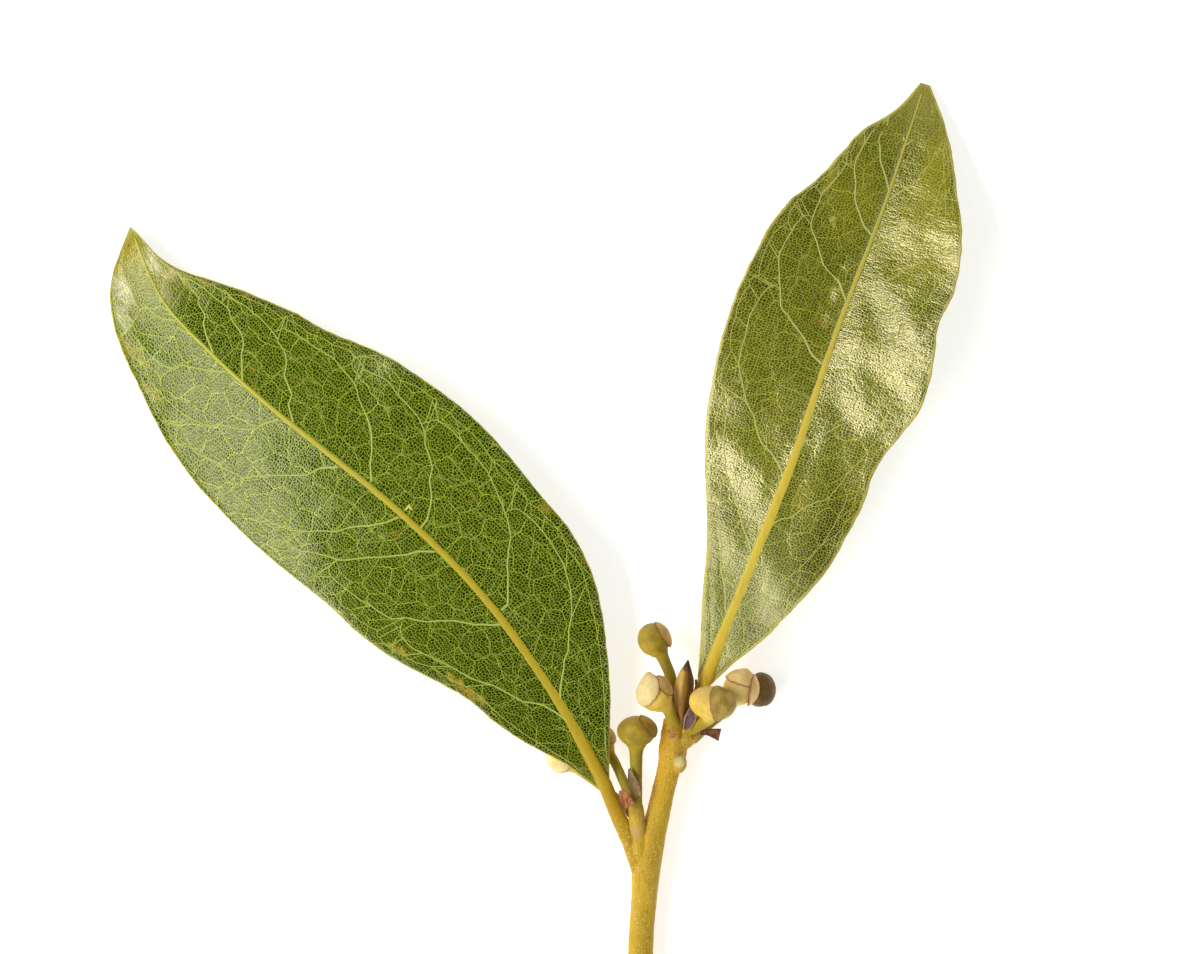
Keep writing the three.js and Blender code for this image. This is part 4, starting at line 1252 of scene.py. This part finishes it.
def bark_finish(name):
    """Young bark: ochre, finely speckled and streaked, greener below and orange towards the buds."""
    finish = Finish(name)
    place = finish.from_fork()
    tone = place.stretched(1.0, 0.35, 1.0).cloud(2.4, 3.0).rise(0.3, 0.7)
    fibres = place.stretched(3.2, 0.35, 3.2).cloud(0.8, 3.0)
    dot = pale_dots(place) * place.cloud(2.0).rise(0.35, 0.6)
    ragged = place.warped(0.5, 1.2)
    mottle = 0.4 + place.cloud(0.35, 3.0).rise(0.35, 0.65) * 0.6
    patches = []
    for centre, reach, tint, strength in BARK_PATCHES:
        patch = 1 - ragged.distance(centre).rise(reach * 0.4, reach)
        patches.append((tint, patch * mottle * strength))
    radial = finish.attribute("radial")
    wood = finish.layers(
        (232, 216, 168), ((206, 182, 122), place.cloud(0.25)), ((190, 164, 96), radial.rise(1.25, 1.4) * 0.8)
    )
    cut_end = finish.layers((214, 196, 150), (wood, radial.rise(0.28, 0.42)))
    colour = finish.layers(
        (216, 176, 42),
        ((194, 156, 34), tone),
        ((216, 166, 30), place.part("Y").rise(3.0, 10.0) * 0.7),
        ((140, 104, 34), fibres.rise(0.55, 0.75) * 0.5),
        (DOT, dot * 0.75),
        ((118, 88, 30), place.cloud(0.5).rise(0.62, 0.75) * 0.4),
        # The bark patches include painted shade in the notch above the leaf scar.
        *patches,
        spot(place, NUB_PLACE, 1.05, (242, 230, 146), 0.95),
        (cut_end, finish.attribute("cut").rise(0.4, 0.6)),
    )
    height = fibres * 0.06 + dot * 0.05 + place.cloud(0.25) * 0.04
    return finish.done(colour, 0.6 + tone * 0.14, height, specular_ior_level=0.3)


def bud_finish(name, body, shade, stalk, crown):
    """The skin of a head, mottled, greener down its stalk and duller at its crown."""
    finish = Finish(name)
    place = finish.from_fork()
    tone = place.cloud(1.5, 3.0).rise(0.32, 0.68)
    fine = place.cloud(0.35, 3.0)
    colour = finish.layers(
        body,
        (shade, tone),
        (crown, (finish.attribute("crown") + tone * 0.2).rise(0.5, 1.05) * 0.7),
        (stalk, finish.attribute("green").rise(0.05, 0.7)),
        ((116, 84, 36), fine.rise(0.62, 0.74) * 0.3),
        ((96, 66, 30), (1 - place.dots(0.9).rise(0.05, 0.09)) * 0.5),
    )
    height = fine * 0.03 + tone * 0.03
    return finish.done(colour, 0.46 + fine * 0.16, height, specular_ior_level=0.3)


def bract_finish(name, body, shade, rim_colour):
    """A dry bract: veined faintly, with a dark uneven line along its rim."""
    finish = Finish(name)
    place = finish.from_fork()
    rim = finish.attribute("rim")
    streaks = place.stretched(2.4, 0.7, 2.4).cloud(0.7, 3.0)
    fine = place.cloud(0.25, 3.0)
    colour = finish.layers(
        body,
        (shade, place.cloud(1.3, 3.0).rise(0.32, 0.68)),
        (rim_colour, streaks.rise(0.58, 0.72) * 0.3),
        (rim_colour, (1 - (rim + fine * 0.3).rise(0.22, 0.5)) * 0.6),
        ((118, 76, 42), (1 - (rim + fine * 0.1).rise(0.07, 0.14)) * 0.8),
    )
    height = streaks * 0.04 + fine * 0.03
    return finish.done(colour, 0.5 + fine * 0.16, height, specular_ior_level=0.3)


def leaf_bud_finish(name):
    """Ochre scales, brown folds, a purple-brown tip, painted light on the upper left and painted shade on
    the right and below.
    """
    finish = Finish(name)
    place = finish.from_fork()
    run, side = finish.attribute("run"), finish.attribute("round")
    streaks = place.stretched(2.4, 0.5, 2.4).cloud(0.8, 3.0)
    seam = 1 - (side - 1.75).math("ABSOLUTE").rise(0.05, 0.2)
    colour = finish.layers(
        (172, 126, 26),
        ((142, 100, 20), streaks.rise(0.35, 0.65)),
        # painted light: a pale coat on the upper left side of the bud
        ((228, 184, 88), (1 - side.rise(1.1, 1.5)) * run.rise(0.4, 0.6) * 0.75),
        # painted shade: dark brown over the right side and underneath
        ((84, 54, 22), side.rise(1.7, 2.0) * 0.8),
        ((120, 80, 34), seam * 0.5),
        ((112, 70, 28), (1 - place.dots(0.5).rise(0.05, 0.1)) * 0.6),
        ((84, 50, 44), (run + (streaks - 0.5) * 0.16).rise(0.8, 0.92)),
    )
    height = streaks * 0.05 + place.cloud(0.2) * 0.03
    return finish.done(colour, 0.42 + streaks * 0.2, height)


def scale_finish(name, body, shade, edge_colour):
    """A loose bract, streaked lengthways, with pale dry margins."""
    finish = Finish(name)
    place = finish.from_fork()
    across = finish.attribute("across").math("ABSOLUTE")
    streaks = place.stretched(2.6, 0.7, 2.6).cloud(0.6, 3.0)
    edge = (across + (streaks - 0.5) * 0.4).rise(0.7, 0.92)
    colour = finish.layers(body, (shade, streaks.rise(0.35, 0.65)), (edge_colour, edge * 0.8))
    height = streaks * 0.06 + place.cloud(0.2) * 0.03
    return finish.done(colour, 0.48 + streaks * 0.2, height)


# ---- the object ----

RIB_TREE = rib_tree()
SPECKLE_TREE = speckle_tree()

UNDERSIDE = leaf_underside("leaf_underside")
LEFT_VEIN = two_tone("left_side_vein", (196, 204, 104), (178, 190, 84))
RIGHT_VEIN = two_tone("right_side_vein", (208, 208, 138), (178, 180, 66))
FINE_VEIN = two_tone("fine_vein", (166, 180, 76), (134, 152, 52))
VEIN_BELOW = two_tone("vein_underneath", (190, 184, 112), (170, 168, 96))
BARK = bark_finish("young_bark")
SPECKLE = two_tone("bark_speckle", (240, 212, 122), (206, 168, 66), 0.8, 0.6, 0.2)


def build_leaf(name, spec, look, rib_colours, vein):
    blade = Blade(spec)
    main, fine = side_veins(blade), fine_veins(blade)
    rib = rib_finish(name + "_rib", *rib_colours)
    parts = [
        blade_piece(name + "_blade", blade, [leaf_top(name + "_top", look), UNDERSIDE]),
        midrib_piece(name + "_midrib", spec, rib),
        vein_piece(name + "_side_veins", blade, main, 1, 0.45, 7, vein),
        vein_piece(name + "_fine_veins", blade, fine, 1, 0.4, 5, FINE_VEIN),
        vein_piece(name + "_veins_underneath", blade, main, -1, 0.1, 5, VEIN_BELOW),
    ]
    finish_piece(join(parts), name)


def build_twig():
    twig = twig_piece("twig_axis", BARK)
    values = {"Density": 5.0e6, "Size": 0.085 * MM, "Seed": 4, "Finish": SPECKLE}
    dots = grown(twig, SPECKLE_TREE, "bark_speckles", values)
    finish_piece(join([twig, dots]), "twig")
    finish_piece(shoot_piece("side_shoot_axis", BARK), "side_shoot")


def build_buds():
    skins = {key: bud_finish(f"bud_{key}", *colours) for key, colours in BUD_COLOURS.items()}
    bracts = {key: bract_finish(f"bract_{key}", *colours) for key, colours in BRACT_COLOURS.items()}
    for name, bud in BUDS.items():
        finish_piece(bud_piece(name + "_skin", bud, skins[bud.skin]), name)
        for bract, facing, reach, lift, colour in bud.bracts:
            piece = bract_piece(bract + "_skin", bud, facing, reach, lift, bracts[colour])
            finish_piece(piece, bract)


def build_scales():
    leaf_bud_skin = leaf_bud_finish("leaf_bud_skin")
    finish_piece(leaf_bud_piece("leaf_bud_body", leaf_bud_skin), "leaf_bud")
    for name, scale in SCALES.items():
        finish = scale_finish(scale.finish, *SCALE_COLOURS[scale.finish])
        finish_piece(scale_piece(name + "_skin", scale, finish), name)


# ---- the surface, the lights and the camera ----

SURFACE_HALF = 1.5
SURFACE_DROP = 0.00005  # keeps the surface just below what lies on it
WINDOW_PLACE, WINDOW_AIM = (-0.42, -0.1, 0.5), (0, 0, 0.004)
WINDOW_SIZE = (0.9, 0.2)
WINDOW_POWER = 4.0
ROOM_STRENGTH = 0.4
VIEW_MIDDLE = (-6.25, 46.6)  # millimetres from the fork
CAMERA_HEIGHT = 0.8234


def build_surface():
    finish = Finish("white_surface")
    tone = finish.object_mm().cloud(60.0)
    white = finish.layers((0.88, 0.88, 0.87, 1.0), ((0.92, 0.92, 0.92, 1.0), tone))
    glow = {"emission_color": (1.0, 1.0, 1.0, 1.0), "emission_strength": 0.6}
    mesh = bpy.data.meshes.new("white_surface")
    half = SURFACE_HALF
    corners = [(-half, -half, 0), (half, -half, 0), (half, half, 0), (-half, half, 0)]
    mesh.from_pydata(corners, [], [(0, 1, 2, 3)])
    mesh.materials.append(finish.done(white, 0.7 + tone * 0.1, **glow))
    surface = add_object("white_surface", mesh)
    surface.location.z = -SURFACE_DROP


def build_lights():
    panel = bpy.data.lights.new("window", "AREA")
    panel.shape = "RECTANGLE"
    panel.size, panel.size_y = WINDOW_SIZE
    panel.energy = WINDOW_POWER
    window = add_object("window", panel)
    window.location = WINDOW_PLACE
    towards = Vector(WINDOW_AIM) - window.location
    window.rotation_euler = towards.to_track_quat("-Z", "Y").to_euler()
    world = bpy.data.worlds.new("pale_room")
    world.use_nodes = True
    background = world.node_tree.nodes["Background"]
    background.inputs["Color"].default_value = (1.0, 1.0, 1.0, 1.0)
    background.inputs["Strength"].default_value = ROOM_STRENGTH
    world.cycles_visibility.glossy = False
    bpy.context.scene.world = world


def build_camera():
    lens = bpy.data.cameras.new("camera")
    lens.lens = 200
    lens.sensor_width = 36
    lens.clip_start, lens.clip_end = 0.01, 10
    camera = add_object("camera", lens)
    x, y = (VIEW_MIDDLE + FORK[:2]) * MM
    camera.location = (x, y, CAMERA_HEIGHT)
    bpy.context.scene.camera = camera


build_camera()
build_leaf("left_leaf", LEFT_LEAF, LEFT_LOOK, LEFT_RIB, LEFT_VEIN)
build_leaf("right_leaf", RIGHT_LEAF, RIGHT_LOOK, RIGHT_RIB, RIGHT_VEIN)
build_twig()
build_buds()
build_scales()
build_surface()
build_lights()
bpy.context.scene.view_settings.view_transform = "Standard"
